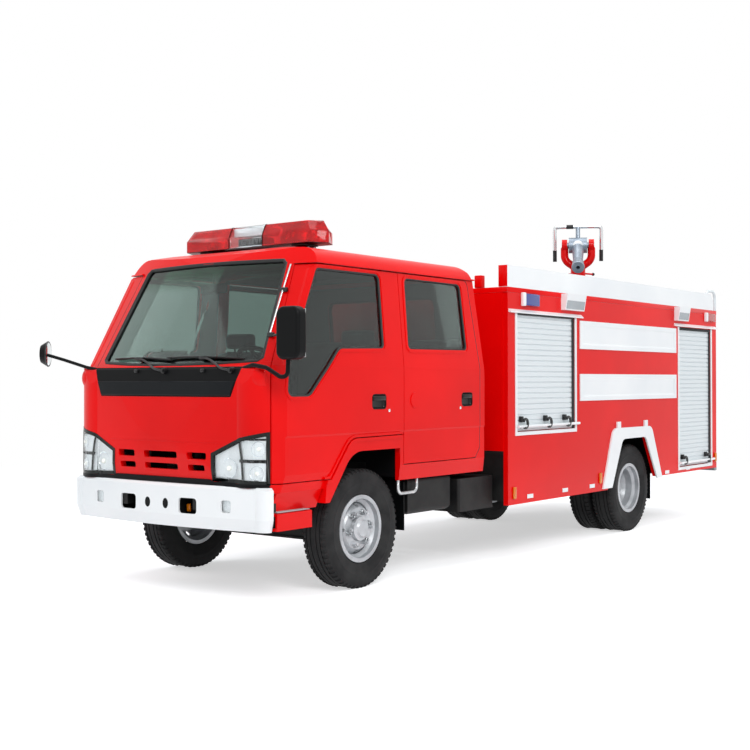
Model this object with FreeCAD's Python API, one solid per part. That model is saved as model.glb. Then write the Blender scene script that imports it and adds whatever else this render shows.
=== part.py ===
"""Mini pumper fire truck: a crew-cab light truck chassis with a fire body and a roof monitor.

Millimetres. X points to the truck's left, Y to its rear and Z up. The model is laid out with the front axle
at Y = 0 and the ground at Z = 0, then moved so that the origin is on the ground, at the middle of the whole
length. Each node is one piece of the truck, or a few like pieces that one body carries.
"""
import FreeCAD
import Part
import math
import os

V = FreeCAD.Vector

# ---------------------------------------------------------------- driving dimensions
# Running gear
WHEELBASE = 3815.0
REAR_OVERHANG = 1875.0
TYRE_RADIUS = 387.0
TYRE_WIDTH = 200.0
RIM_RADIUS = 220.0
RIM_WIDTH = 168.0
STUD_CIRCLE = 222.25
STUD_COUNT = 6
HAND_HOLES = 4
HAND_HOLE_RADIUS = 15.0
HAND_HOLE_CIRCLE = 153.0
FRONT_TRACK = 1504.0
REAR_TRACK = 1425.0
TWIN_SPACING = 228.0
KINGPIN_INSET = 112.0
KINGPIN_X = FRONT_TRACK / 2 - KINGPIN_INSET
STEERING_ARM = 160.0
RUNNING_CLEARANCE = 0.05
SEAT = 0.3

# Chassis frame
RAIL_OUTSIDE = 375.0
RAIL_HEIGHT = 190.0
RAIL_FLANGE = 60.0
RAIL_GAUGE = 8.0
RAIL_TOP = 690.0
FRAME_FRONT = -880.0
FRAME_REAR = WHEELBASE + REAR_OVERHANG - 90.0

# Cab
CAB_HALF_WIDTH = 905.0
CAB_GUTTER_HALF_WIDTH = 848.0
CAB_BELT = 1500.0
CAB_GUTTER = 2088.0
CAB_ROOF = 2232.0
CAB_FRONT = -992.0
CAB_REAR = 1400.0
CAB_WALL = 45.0
CAB_FLOOR_THICKNESS = 40.0
SCREEN_BOTTOM = (-930.0, 1445.0)
SCREEN_TOP = (-560.0, 2122.0)
SCREEN_ARC = 3150.0
GLASS = 6.0
PANEL_GAP = 6.0
DASH_HALF_WIDTH = 790.0
DOOR_FRONT = -888.0
DOOR_MIDDLE = 386.0
DOOR_REAR = 1335.0
DOOR_BOTTOM = 740.0
ARCH_TOP = 900.0
ARCH_BACK = 345.0

# Bumper
BUMPER_TOP = 716.0
BUMPER_BOTTOM = 450.0
BUMPER_FRONT = -1018.0
BUMPER_HALF_WIDTH = 880.0
BUMPER_WALL = 12.0
BUMPER_BOW = 60.0
BUMPER_CREASE = 74.0
BUMPER_RAKE = 16.0
BUMPER_LEDGE = 16.0

# Fire body
BODY_HALF_WIDTH = 985.0
BODY_WALL = 40.0
BODY_FRONT = 1596.0
BODY_REAR = WHEELBASE + REAR_OVERHANG
BODY_TOP = 2060.0
BODY_FLOOR = 820.0
BODY_FLOOR_PLATE = 30.0
SKIRT_FRONT = 412.0
SKIRT_REAR = 465.0
TREAD_PLATE = 3.0
TREAD_SIDE = 85.0
BOARD_TOP = 2225.0
FRONT_SHUTTER = (BODY_FRONT + 138.0, BODY_FRONT + 1059.0, 961.0, 1882.0)
REAR_SHUTTER = (WHEELBASE + 940.0, WHEELBASE + 1720.0, 520.0, 1865.0)
BACK_SHUTTER = (-600.0, 600.0, 900.0, 1865.0)
SLAT_PITCH = 41.0
DIVIDERS = (FRONT_SHUTTER[1] + 78.0, REAR_SHUTTER[0] - 55.0)

# Monitor
MONITOR_Y = WHEELBASE + 765.0
MONITOR_FLANGE = BODY_TOP + 285.0
MONITOR_PIVOT = BODY_TOP + 640.0
MONITOR_TURN = -28.0
MONITOR_DIP = -32.0
NOZZLE_BORE = 38.0
NOZZLE_START = 360.0
NOZZLE_LENGTH = 130.0

# Reach of the whole truck, for the place of the origin
REACH_FRONT = -1075.0
REACH_REAR = BODY_REAR + 100.0
ORIGIN_Y = (REACH_FRONT + REACH_REAR) / 2
MIRROR_REACH = 1175.0

NODES = {}


# ---------------------------------------------------------------- small helpers
def box(x, y, z):
    """A box between two values on each axis."""
    corner = V(min(x), min(y), min(z))
    return Part.makeBox(abs(x[1] - x[0]), abs(y[1] - y[0]), abs(z[1] - z[0]), corner)


def face(points):
    wire = Part.makePolygon(points + [points[0]])
    return Part.Face(wire)


def along_x(yz, x0, x1):
    """An outline in Y and Z, drawn out from x0 to x1."""
    return face([V(x0, y, z) for y, z in yz]).extrude(V(x1 - x0, 0, 0))


def along_y(xz, y0, y1):
    return face([V(x, y0, z) for x, z in xz]).extrude(V(0, y1 - y0, 0))


def along_z(xy, z0, z1):
    return face([V(x, y, z0) for x, y in xy]).extrude(V(0, 0, z1 - z0))


def rod(start, end, radius):
    direction = V(*end) - V(*start)
    return Part.makeCylinder(radius, direction.Length, V(*start), direction)


def mirrored(shape):
    return shape.mirror(V(0, 0, 0), V(1, 0, 0))


def pair(shape):
    """A piece on the left and its mirror image on the right."""
    return [shape, mirrored(shape)]


def fuse(shapes):
    whole = shapes[0].fuse(shapes[1:]) if len(shapes) > 1 else shapes[0]
    return whole.removeSplitter()


def tube(points, radius, bend):
    """A bent round tube: straight runs joined by arcs of one bend radius."""
    path = [V(*p) for p in points]
    edges = []
    start = path[0]
    for before, corner, after in zip(path, path[1:], path[2:]):
        inward = (before - corner).normalize()
        outward = (after - corner).normalize()
        half = inward.getAngle(outward) / 2
        reach = min(bend / math.tan(half), 0.45 * (before - corner).Length, 0.45 * (after - corner).Length)
        arc_start = corner + inward * reach
        arc_end = corner + outward * reach
        bisector = (inward + outward).normalize()
        arc_radius = reach * math.tan(half)
        centre = corner + bisector * (arc_radius / math.sin(half))
        middle = centre - bisector * arc_radius
        edges.append(Part.LineSegment(start, arc_start).toShape())
        edges.append(Part.Arc(arc_start, middle, arc_end).toShape())
        start = arc_end
    edges.append(Part.LineSegment(start, path[-1]).toShape())
    route = Part.Wire(edges)
    ring = Part.Wire(Part.makeCircle(radius, path[0], path[1] - path[0]))
    return route.makePipeShell([ring], True, False)


def turned(profile, centre):
    """A profile of (x, radius) points turned about the X axis through a centre."""
    points = [V(x, 0, r) for x, r in profile]
    solid = face(points).revolve(V(0, 0, 0), V(1, 0, 0), 360)
    solid.translate(V(*centre))
    return solid


def round_edges(shape, radius, test):
    """Fillets the edges that pass a test on their middle point."""
    edges = [e for e in shape.Edges if test(e, e.valueAt((e.FirstParameter + e.LastParameter) / 2))]
    return shape.makeFillet(radius, edges) if edges else shape


def upright(edge):
    a, b = edge.Vertexes[0].Point, edge.Vertexes[-1].Point
    return abs(a.z - b.z) > 0.9 * edge.Length


def put(name, *shapes):
    """Keeps a node: one solid, or several that don't touch."""
    NODES[name] = Part.makeCompound(list(shapes)) if len(shapes) > 1 else shapes[0]


# ---------------------------------------------------------------- wheels
def tyre(centre):
    half = TYRE_WIDTH / 2
    r = TYRE_RADIUS
    bead = RIM_RADIUS - 12
    profile = [(-58, bead - 4.5), (-69.5, bead - 4.5), (-73.5, bead + 13), (-half + 8, bead + 45), (-half, bead + 82), (-half + 4, r - 55),
               (-half + 16, r - 20), (-half + 30, r - 5), (-half + 44, r), (half - 44, r), (half - 30, r - 5),
               (half - 16, r - 20), (half - 4, r - 55), (half, bead + 82), (half - 8, bead + 45), (73.5, bead + 13),
               (69.5, bead - 4.5), (58, bead - 4.5)]
    return turned(profile, centre)


def rim(centre, outward, disc_at):
    """A steel wheel: a rim with its dished disc, hand holes and stud holes' nuts. outward is 1 or -1 along X."""
    half = RIM_WIDTH / 2
    edge = RIM_RADIUS
    well = 178.0
    seat = RIM_RADIUS - 18
    sheet = 7.0
    barrel = [(-half, edge), (-half + 10, edge), (-half + 14, seat), (-half + 38, seat - 2), (-30, well), (30, well),
              (half - 38, seat - 2), (half - 14, seat), (half - 10, edge), (half, edge), (half, seat - 8),
              (half - 34, seat - sheet - 2), (30, well - sheet), (-30, well - sheet), (-half + 34, seat - sheet - 2),
              (-half, seat - 8)]
    root = 4.0 if disc_at > 0 else -22.0
    shoulder = disc_at - 12 if disc_at > 0 else disc_at + 14
    disc = [(root, well - 1), (shoulder, 146), (disc_at, 136), (disc_at, 82), (disc_at - sheet - 2, 82),
            (disc_at - sheet - 2, 132), (shoulder - 10, 140), (root - 12, well - 1)]
    wheel = turned(barrel, (0, 0, 0)).fuse(turned(disc, (0, 0, 0)))
    for k in range(HAND_HOLES):
        hole = Part.makeCylinder(HAND_HOLE_RADIUS, 240, V(-120, 0, HAND_HOLE_CIRCLE), V(1, 0, 0))
        hole.rotate(V(0, 0, 0), V(1, 0, 0), 360.0 / HAND_HOLES * k)
        wheel = wheel.cut(hole)
    nuts = []
    for k in range(STUD_COUNT):
        angle = math.radians(360.0 / STUD_COUNT * (k + 0.5))
        y, z = STUD_CIRCLE / 2 * math.sin(angle), STUD_CIRCLE / 2 * math.cos(angle)
        nut = Part.makeCylinder(15, 27, V(disc_at - 1, y, z), V(1, 0, 0))
        nuts.append(nut.fuse(Part.makeCylinder(9, 40, V(disc_at - 1, y, z), V(1, 0, 0))))
    wheel = fuse([wheel] + nuts)
    if outward < 0:
        wheel = mirrored(wheel)
    wheel.translate(V(*centre))
    return wheel


SPINDLE = 30.0
HUB_RADIUS = 81.0


def hub(centre, outward, disc_at, inner_reach, nose):
    """A hub with a bearing bore on the spindle, a flange behind the disc and a closed nose."""
    bore = SPINDLE + RUNNING_CLEARANCE
    flange = disc_at - 9
    profile = [(inner_reach, bore), (inner_reach, 62), (flange - 22, 62), (flange - 22, 135), (flange, 135),
               (flange, HUB_RADIUS), (disc_at + nose - 20, HUB_RADIUS - 3), (disc_at + nose - 14, 60),
               (disc_at + nose, 50), (disc_at + nose, 0), (disc_at + nose - 12, 0), (disc_at + nose - 12, bore)]
    solid = turned(profile, (0, 0, 0))
    if outward < 0:
        solid = mirrored(solid)
    solid.translate(V(*centre))
    return solid


FRONT_DISC = 62.0
REAR_OUTER_DISC = REAR_TRACK / 2 - (REAR_TRACK / 2 + TWIN_SPACING / 2)
FRONT_WHEEL_X = FRONT_TRACK / 2
REAR_OUTER_X = REAR_TRACK / 2 + TWIN_SPACING / 2
REAR_INNER_X = REAR_TRACK / 2 - TWIN_SPACING / 2


def wheels():
    for side, sign in (("left", 1), ("right", -1)):
        front = (sign * FRONT_WHEEL_X, 0, TYRE_RADIUS)
        put(f"front_tyre_{side}", tyre(front))
        put(f"front_wheel_{side}", fuse([rim(front, sign, FRONT_DISC), hub(front, sign, FRONT_DISC, -45, 45)]))
        outer = (sign * REAR_OUTER_X, WHEELBASE, TYRE_RADIUS)
        inner = (sign * REAR_INNER_X, WHEELBASE, TYRE_RADIUS)
        put(f"rear_tyres_{side}", tyre(outer), tyre(inner))
        disc = REAR_OUTER_DISC + 9
        twin = [rim(outer, sign, disc), rim(inner, -sign, disc), hub(outer, sign, disc, disc - 60, 90)]
        put(f"rear_wheels_{side}", fuse(twin))


# ---------------------------------------------------------------- front axle and steering
BEAM_HEIGHT = 70.0
BOSS_RADIUS = 34.0
BOSS_HEIGHT = 90.0
PIN_RADIUS = 17.0
EAR = 26.0


def front_axle():
    r = TYRE_RADIUS
    beam = along_y([(-KINGPIN_X, r + 35), (-KINGPIN_X, r - 35), (-520, r - 45), (-400, r - 105), (400, r - 105),
                    (520, r - 45), (KINGPIN_X, r - 35), (KINGPIN_X, r + 35), (520, r + 25), (400, r - 35),
                    (-400, r - 35), (-520, r + 25)], -35, 35)
    web = [box((-380, 380), (s * 35, s * 16), (r - 92, r - 48)) for s in (1, -1)]
    beam = beam.cut(web[0]).cut(web[1])
    for s in (1, -1):
        boss = Part.makeCylinder(BOSS_RADIUS, BOSS_HEIGHT, V(s * KINGPIN_X, 0, r - BOSS_HEIGHT / 2))
        bore = Part.makeCylinder(PIN_RADIUS + RUNNING_CLEARANCE, 200, V(s * KINGPIN_X, 0, r - 100))
        clear = box((s * (KINGPIN_X + 1), s * (KINGPIN_X + 90)), (-60, 60), (r - 90, r + 90))
        beam = beam.cut(clear).fuse(boss).cut(bore)
    put("front_axle_beam", beam.removeSplitter())


TIE_ROD_Z = 318.0


def knuckle(sign, side):
    r = TYRE_RADIUS
    x = KINGPIN_X
    half = BOSS_HEIGHT / 2 + 1.5
    ears = [box((x - 34, x + 62), (-32, 32), (r + half, r + half + EAR)),
            box((x - 34, x + 62), (-32, 32), (r - half - EAR, r - half))]
    back = box((x + 38, x + 62), (-45, 45), (r - half - EAR, r + half + EAR))
    pin = Part.makeCylinder(PIN_RADIUS, 2 * (half + EAR), V(x, 0, r - half - EAR))
    spindle = Part.makeCylinder(SPINDLE, FRONT_WHEEL_X + 85 - (x + 50), V(x + 50, 0, r), V(1, 0, 0))
    eye_y = STEERING_ARM
    low = r - half - EAR
    arm = along_z([(x - 26, -20), (x + 30, -20), (x + 20, eye_y), (x + 4, eye_y + 24), (x - 16, eye_y + 22),
                   (x - 24, eye_y)], low - 26, low - 4)
    stud = Part.makeCylinder(11, 32, V(x, eye_y, low - 7))
    arm = arm.fuse(box((x - 26, x + 30), (-20, 32), (low - 26, low + 1)))
    solid = fuse(ears + [back, pin, spindle, arm, stud])
    put(f"steering_knuckle_{side}", solid if sign > 0 else mirrored(solid))


def steering():
    for side, sign in (("left", 1), ("right", -1)):
        knuckle(sign, side)
    low = TYRE_RADIUS - BOSS_HEIGHT / 2 - 1.5 - EAR
    z = low + 14
    bar = rod((-KINGPIN_X + 20, STEERING_ARM, z), (KINGPIN_X - 20, STEERING_ARM, z), 15)
    solid = [bar]
    for s in (1, -1):
        solid.append(Part.makeCylinder(24, 18, V(s * KINGPIN_X, STEERING_ARM, z - 9)))
    whole = fuse(solid)
    for s in (1, -1):
        whole = whole.cut(Part.makeCylinder(11.05, 60, V(s * KINGPIN_X, STEERING_ARM, z - 30)))
    put("track_rod", whole)


# ---------------------------------------------------------------- rear axle, springs, driveline
AXLE_TUBE = 58.0


def rear_axle():
    y, r = WHEELBASE, TYRE_RADIUS
    tube_reach = REAR_INNER_X - 105
    middle = Part.makeSphere(165, V(0, y, r)).common(box((-150, 150), (y - 160, y + 130), (r - 160, r + 160)))
    housing = rod((-tube_reach, y, r), (tube_reach, y, r), AXLE_TUBE)
    spindle_end = REAR_TRACK / 2 + 70
    spindle = rod((-spindle_end, y, r), (spindle_end, y, r), SPINDLE)
    drums = [rod((s * (tube_reach - 20), y, r), (s * tube_reach, y, r), 125) for s in (1, -1)]
    nose = Part.makeCone(60, 42, 130, V(0, y - 120, r), V(0, -1, 0))
    put("rear_axle", fuse([housing, middle, spindle, nose] + drums))


def leaf_pack(y, x, seat, length, rise, leaves, width):
    """A bowed stack of leaves: one outline in Y and Z with both ends turned up to the shackles."""
    thick = 10.0 * leaves
    half = length / 2
    top = [(y - half, seat + rise), (y - half * 0.5, seat + rise * 0.3), (y, seat), (y + half * 0.5, seat + rise * 0.3),
           (y + half, seat + rise)]
    bottom = [(y + half, seat + rise - 12), (y + half * 0.5, seat + rise * 0.3 - thick * 0.6), (y + 60, seat - thick),
              (y - 60, seat - thick), (y - half * 0.5, seat + rise * 0.3 - thick * 0.6), (y - half, seat + rise - 12)]
    return along_x(top + bottom, x - width / 2, x + width / 2)


SPRING_X = RAIL_OUTSIDE - RAIL_FLANGE / 2 + 8
HANGER = 24.0


def springs():
    rail_bottom = RAIL_TOP - RAIL_HEIGHT
    solids = []
    front_seat, rear_seat = TYRE_RADIUS + 25.0, TYRE_RADIUS + AXLE_TUBE + 30 + SEAT
    for y, seat, length, leaves in ((0.0, front_seat, 1160.0, 4), (WHEELBASE, rear_seat, 1280.0, 3)):
        rise = rail_bottom - HANGER - seat + 10
        pack = leaf_pack(y, SPRING_X, seat, length, rise, leaves, 64)
        ends = [box((SPRING_X - 34, SPRING_X + 34), (y + s * (length / 2 - 26), y + s * (length / 2 + 26)),
                    (seat + rise - 20, rail_bottom - 0.3)) for s in (1, -1)]
        if y == 0.0:
            ends.append(box((SPRING_X - 40, SPRING_X + 40), (-60, 60), (TYRE_RADIUS - 34.7, seat - 10 * leaves + 4)))
        solids += pair(fuse([pack] + ends))
    put("leaf_springs", *solids)


SHAFT_START = (0, 1149, 620)
SHAFT_END = (0, WHEELBASE - 254.2, TYRE_RADIUS)


def driveline():
    engine = box((-240, 240), (-380, 430), (500, 1000))
    engine = round_edges(engine, 30, lambda e, m: upright(e))
    put("engine_block", engine)
    gearbox = along_x([(430.3, 780), (430.3, 480), (900, 520), (1150, 540), (1150, 700), (900, 760)], -150, 150)
    shaft = rod(SHAFT_START, SHAFT_END, 38)
    shaft = shaft.fuse(rod(SHAFT_START, (0, 1240, 612), 55))
    put("gearbox_and_shaft", fuse([gearbox, shaft.common(box((-100, 100), (1149, 9000), (0, 900)))]))


# ---------------------------------------------------------------- chassis frame
CAB_MOUNTS = (-700.0, 1150.0)
CAB_SILL = 682.0
TOW_X = 270.0
TOW_Z = 584.0
TOW_BORE = 15.0
REAR_PIN_BORE = 16.0
FLOOR_FRONT = 745.0
FLOOR_REAR = 790.0


def bumper_back(x):
    """Y of the bumper's back face near its middle, at a distance x from the centre line."""
    return BUMPER_FRONT + BUMPER_WALL + BUMPER_BOW * (x / (BUMPER_HALF_WIDTH - 90)) ** 2


def chassis():
    top, low = RAIL_TOP, RAIL_TOP - RAIL_HEIGHT
    out, flange, gauge = RAIL_OUTSIDE, RAIL_FLANGE, RAIL_GAUGE
    rail = box((out - flange, out), (FRAME_FRONT, FRAME_REAR), (low, top))
    rail = rail.cut(box((out - flange - 1, out - gauge), (FRAME_FRONT - 1, FRAME_REAR + 1), (low + gauge, top - gauge)))
    pieces = pair(rail)
    inside = out - gauge
    for y in (-800.0, 1500.0, 2500.0, WHEELBASE - 515.0, WHEELBASE + 585.0, FRAME_REAR - 40.0):
        pieces.append(box((-inside, inside), (y - 35, y + 35), (low + 45, top - 12)))
    frame = fuse(pieces)
    cross_front = box((-330, 330), (FRAME_FRONT, FRAME_FRONT + 20), (low - 60, TOW_Z + 40))
    frame = frame.fuse(cross_front)
    for sign in (1, -1):
        frame = frame.fuse(box((sign * 300, sign * out), (bumper_back(out) + 2 * SEAT, FRAME_FRONT + 1), (560, 640)))
        for y in CAB_MOUNTS:
            post = box((sign * (out - 55), sign * out), (y - 30, y + 30), (top - 1, FLOOR_FRONT - 0.3))
            frame = frame.fuse(post)
        bearer = box((sign * (out - 60), sign * out), (BODY_FRONT + 60, BODY_REAR - 100), (top - 1, BODY_FLOOR - BODY_FLOOR_PLATE - SEAT))
        frame = frame.fuse(bearer)
    frame = frame.cut(rod(SHAFT_START, SHAFT_END, 75.0))
    for sign in (1, -1):
        start = (sign * TOW_X, FRAME_FRONT - 40, TOW_Z)
        frame = frame.cut(rod(start, (sign * TOW_X, FRAME_FRONT + 60, TOW_Z), TOW_BORE))
    put("chassis_frame", frame.removeSplitter())


# ---------------------------------------------------------------- cab
def plan_outline(y_front):
    """Half-round nosed plan of the cab: a shallow arc across the front and a rounded corner to each side."""
    w = CAB_HALF_WIDTH
    front_left, front_right = V(640, y_front + 34, 0), V(-640, y_front + 34, 0)
    nose = Part.Arc(front_right, V(0, y_front, 0), front_left).toShape()
    corner_l = Part.Arc(front_left, V(838, y_front + 84, 0), V(w, y_front + 190, 0)).toShape()
    corner_r = Part.Arc(V(-w, y_front + 190, 0), V(-838, y_front + 84, 0), front_right).toShape()
    back = 2200.0
    sides = [Part.LineSegment(V(w, y_front + 190, 0), V(w, back, 0)).toShape(),
             Part.LineSegment(V(w, back, 0), V(-w, back, 0)).toShape(),
             Part.LineSegment(V(-w, back, 0), V(-w, y_front + 190, 0)).toShape()]
    return Part.Face(Part.Wire(Part.__sortEdges__([corner_r, nose, corner_l] + sides)))


def screen_outline():
    """Plan of the space behind the windscreen at its foot, an arc in front."""
    w = 1100.0
    y0 = SCREEN_BOTTOM[0]
    sag = SCREEN_ARC - math.sqrt(SCREEN_ARC ** 2 - w ** 2)
    nose = Part.Arc(V(-w, y0 + sag, 0), V(0, y0, 0), V(w, y0 + sag, 0)).toShape()
    back = 2600.0
    sides = [Part.LineSegment(V(w, y0 + sag, 0), V(w, back, 0)).toShape(),
             Part.LineSegment(V(w, back, 0), V(-w, back, 0)).toShape(),
             Part.LineSegment(V(-w, back, 0), V(-w, y0 + sag, 0)).toShape()]
    return Part.Face(Part.Wire(Part.__sortEdges__([nose] + sides)))


SCREEN_SLOPE = V(0, SCREEN_TOP[0] - SCREEN_BOTTOM[0], SCREEN_TOP[1] - SCREEN_BOTTOM[1])


def leaning(outline_face, inset, z0, height):
    """An outline at the screen's foot drawn out along the windscreen's slope."""
    f = outline_face.makeOffset2D(-inset) if inset else outline_face
    start = SCREEN_SLOPE * ((z0 - SCREEN_BOTTOM[1]) / SCREEN_SLOPE.z)
    solid = f.extrude(SCREEN_SLOPE * (height / SCREEN_SLOPE.z))
    solid.translate(V(0, start.y, z0))
    return solid


def cab_section():
    """Cross-section of the cab: upright to the belt, leaning in to the gutter, and a crowned roof."""
    w, g = CAB_HALF_WIDTH, CAB_GUTTER_HALF_WIDTH
    right = [V(-w, 0, 300), V(-w, 0, CAB_BELT - 60), V(-g, 0, CAB_GUTTER)]
    left = [V(p.x * -1, 0, p.z) for p in reversed(right)]
    shoulder_l, shoulder_r = V(g - 150, 0, CAB_ROOF - 32), V(-g + 150, 0, CAB_ROOF - 32)
    edges = [Part.LineSegment(right[0], right[1]).toShape(), Part.LineSegment(right[1], right[2]).toShape(),
             Part.Arc(right[2], V(-g + 42, 0, CAB_ROOF - 70), shoulder_r).toShape(),
             Part.Arc(shoulder_r, V(0, 0, CAB_ROOF), shoulder_l).toShape(),
             Part.Arc(shoulder_l, V(g - 42, 0, CAB_ROOF - 70), left[0]).toShape(),
             Part.LineSegment(left[0], left[1]).toShape(), Part.LineSegment(left[1], left[2]).toShape(),
             Part.LineSegment(left[2], right[0]).toShape()]
    return Part.Face(Part.Wire(Part.__sortEdges__(edges)))


CAB_SIDE = [(-960, 600), (-965, 745), (-988, 900), (CAB_FRONT, 990), (-980, 1256), (-946, 1425), SCREEN_BOTTOM,
            SCREEN_TOP, (-512, 2180), (-400, 2215), (-200, 2240), (1000, 2240), (1240, 2205), (1305, 2150),
            (1325, 2080), (CAB_REAR, 1400), (CAB_REAR, 600)]


def cab_block(inset):
    """The cab's outer form, or the space inside it when inset by the wall."""
    side = face([V(0, y, z) for y, z in CAB_SIDE])
    section = cab_section()
    plan = plan_outline(CAB_FRONT)
    if inset:
        side, section, plan = (f.makeOffset2D(-inset) for f in (side, section, plan))
    side.translate(V(-1200, 0, 0))
    side_solid = side.extrude(V(2400, 0, 0))
    section.translate(V(0, -1500, 0))
    section_solid = section.extrude(V(0, 3500, 0))
    plan_solid = plan.extrude(V(0, 0, 2500))
    solid = side_solid.common(section_solid).common(plan_solid)
    foot = SCREEN_BOTTOM[1]
    upper = solid.common(leaning(screen_outline(), inset, foot, CAB_ROOF + 100 - foot))
    lower = solid.common(box((-1300, 1300), (-1400, 2400), (0, foot)))
    return upper.fuse(lower).removeSplitter()


FRONT_DOOR = [(DOOR_FRONT, DOOR_BOTTOM), (DOOR_FRONT, 1450), (-655, 2035), (-625, 2075), (-580, CAB_GUTTER - 5),
              (DOOR_MIDDLE - 3, CAB_GUTTER - 5), (DOOR_MIDDLE - 3, 994), (-195, 988, 130), (-400, DOOR_BOTTOM)]
REAR_DOOR = [(DOOR_MIDDLE + 3, 790), (DOOR_MIDDLE + 3, CAB_GUTTER - 5), (1240, CAB_GUTTER - 5, 45),
             (DOOR_REAR, 1450, 300), (DOOR_REAR, 860), (1275, 790)]
FRONT_WINDOW = [(-796, 1258, 45), (-588, 1258, 75), (-288, 1556, 75), (178, 1567, 30), (178, 2058, 45),
                (-466, 2058, 45), (-782, 1450, 160)]
REAR_WINDOW = [(452, 1567, 35), (1180, 1572, 30), (1150, 2053, 45), (460, 2055, 40)]
FRONT_HANDLE = [(32, 1164, 28), (190, 1164, 28), (190, 1266, 28), (32, 1266, 28)]
REAR_HANDLE = [(1092, 1166, 28), (1240, 1166, 28), (1240, 1268, 28), (1092, 1268, 28)]
HANDLE_POCKET = 24.0
WINDOW_LIP = (10, 24)
LIP_HEIGHT = 5.0
FLARE_LIP = 14.0
FLARE_HEIGHT = 7.0
FLARE_FOOT = 562.0
STEP_TOP = 566.0
FLARE = [(-456, FLARE_FOOT), (-436, DOOR_BOTTOM), (-436, 1050), (ARCH_BACK, 1050), (ARCH_BACK, FLARE_FOOT)]
GUTTER_REACH = 14.0
BULGE_RADIUS = 100.0
BULGE_Y = CAB_FRONT + 138.0
CREASE = 1008.0
CREASE_DEPTH = 4.0
ROLL_TOP = 785.0
ROLL_DEPTH = 17.0


def rounded_outline(yz):
    """A flat outline in Y and Z. A point may carry a third value, the radius of its corner."""
    corners = []
    for k, point in enumerate(yz):
        here = V(0, point[0], point[1])
        start, middle, end = here, None, here
        if len(point) == 3:
            radius = point[2]
            before, after = yz[k - 1], yz[(k + 1) % len(yz)]
            to_before = (V(0, before[0], before[1]) - here).normalize()
            to_after = (V(0, after[0], after[1]) - here).normalize()
            half = to_before.getAngle(to_after) / 2
            start = here + to_before * (radius / math.tan(half))
            end = here + to_after * (radius / math.tan(half))
            middle = here + (to_before + to_after).normalize() * (radius / math.sin(half) - radius)
        corners.append((start, middle, end))
    edges = []
    for k, (start, middle, end) in enumerate(corners):
        if middle:
            edges.append(Part.Arc(start, middle, end).toShape())
        edges.append(Part.LineSegment(end, corners[(k + 1) % len(corners)][0]).toShape())
    return Part.Face(Part.Wire(edges))


def outline_solid(yz, distance, x0, x1):
    """An outline grown by a distance and drawn out from X0 to X1."""
    f = rounded_outline(yz)
    if distance:
        f = f.makeOffset2D(distance)
    f.translate(V(x0, 0, 0))
    return f.extrude(V(x1 - x0, 0, 0))


def ring_solid(yz, inner, outer, x0, x1):
    """The band between two offsets of an outline."""
    return outline_solid(yz, outer, x0, x1).cut(outline_solid(yz, inner, x0 - 1, x1 + 1))


def raised(proud, under):
    """A layer that follows the cab's skin, from under it to a height proud of it."""
    return cab_block(-proud).cut(cab_block(under))


def side_relief():
    """What the cab's sides lose below the door crease: a shallow step, then a roll inward to the sill."""
    w = CAB_HALF_WIDTH
    profile = [(w + 60, CREASE + 12), (w, CREASE + 12), (w - CREASE_DEPTH, CREASE), (w - CREASE_DEPTH, ROLL_TOP),
               (w - ROLL_DEPTH, CAB_SILL), (w - ROLL_DEPTH, 300), (w + 60, 300)]
    return along_y(profile, CAB_FRONT - 10, CAB_REAR + 10)


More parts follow.
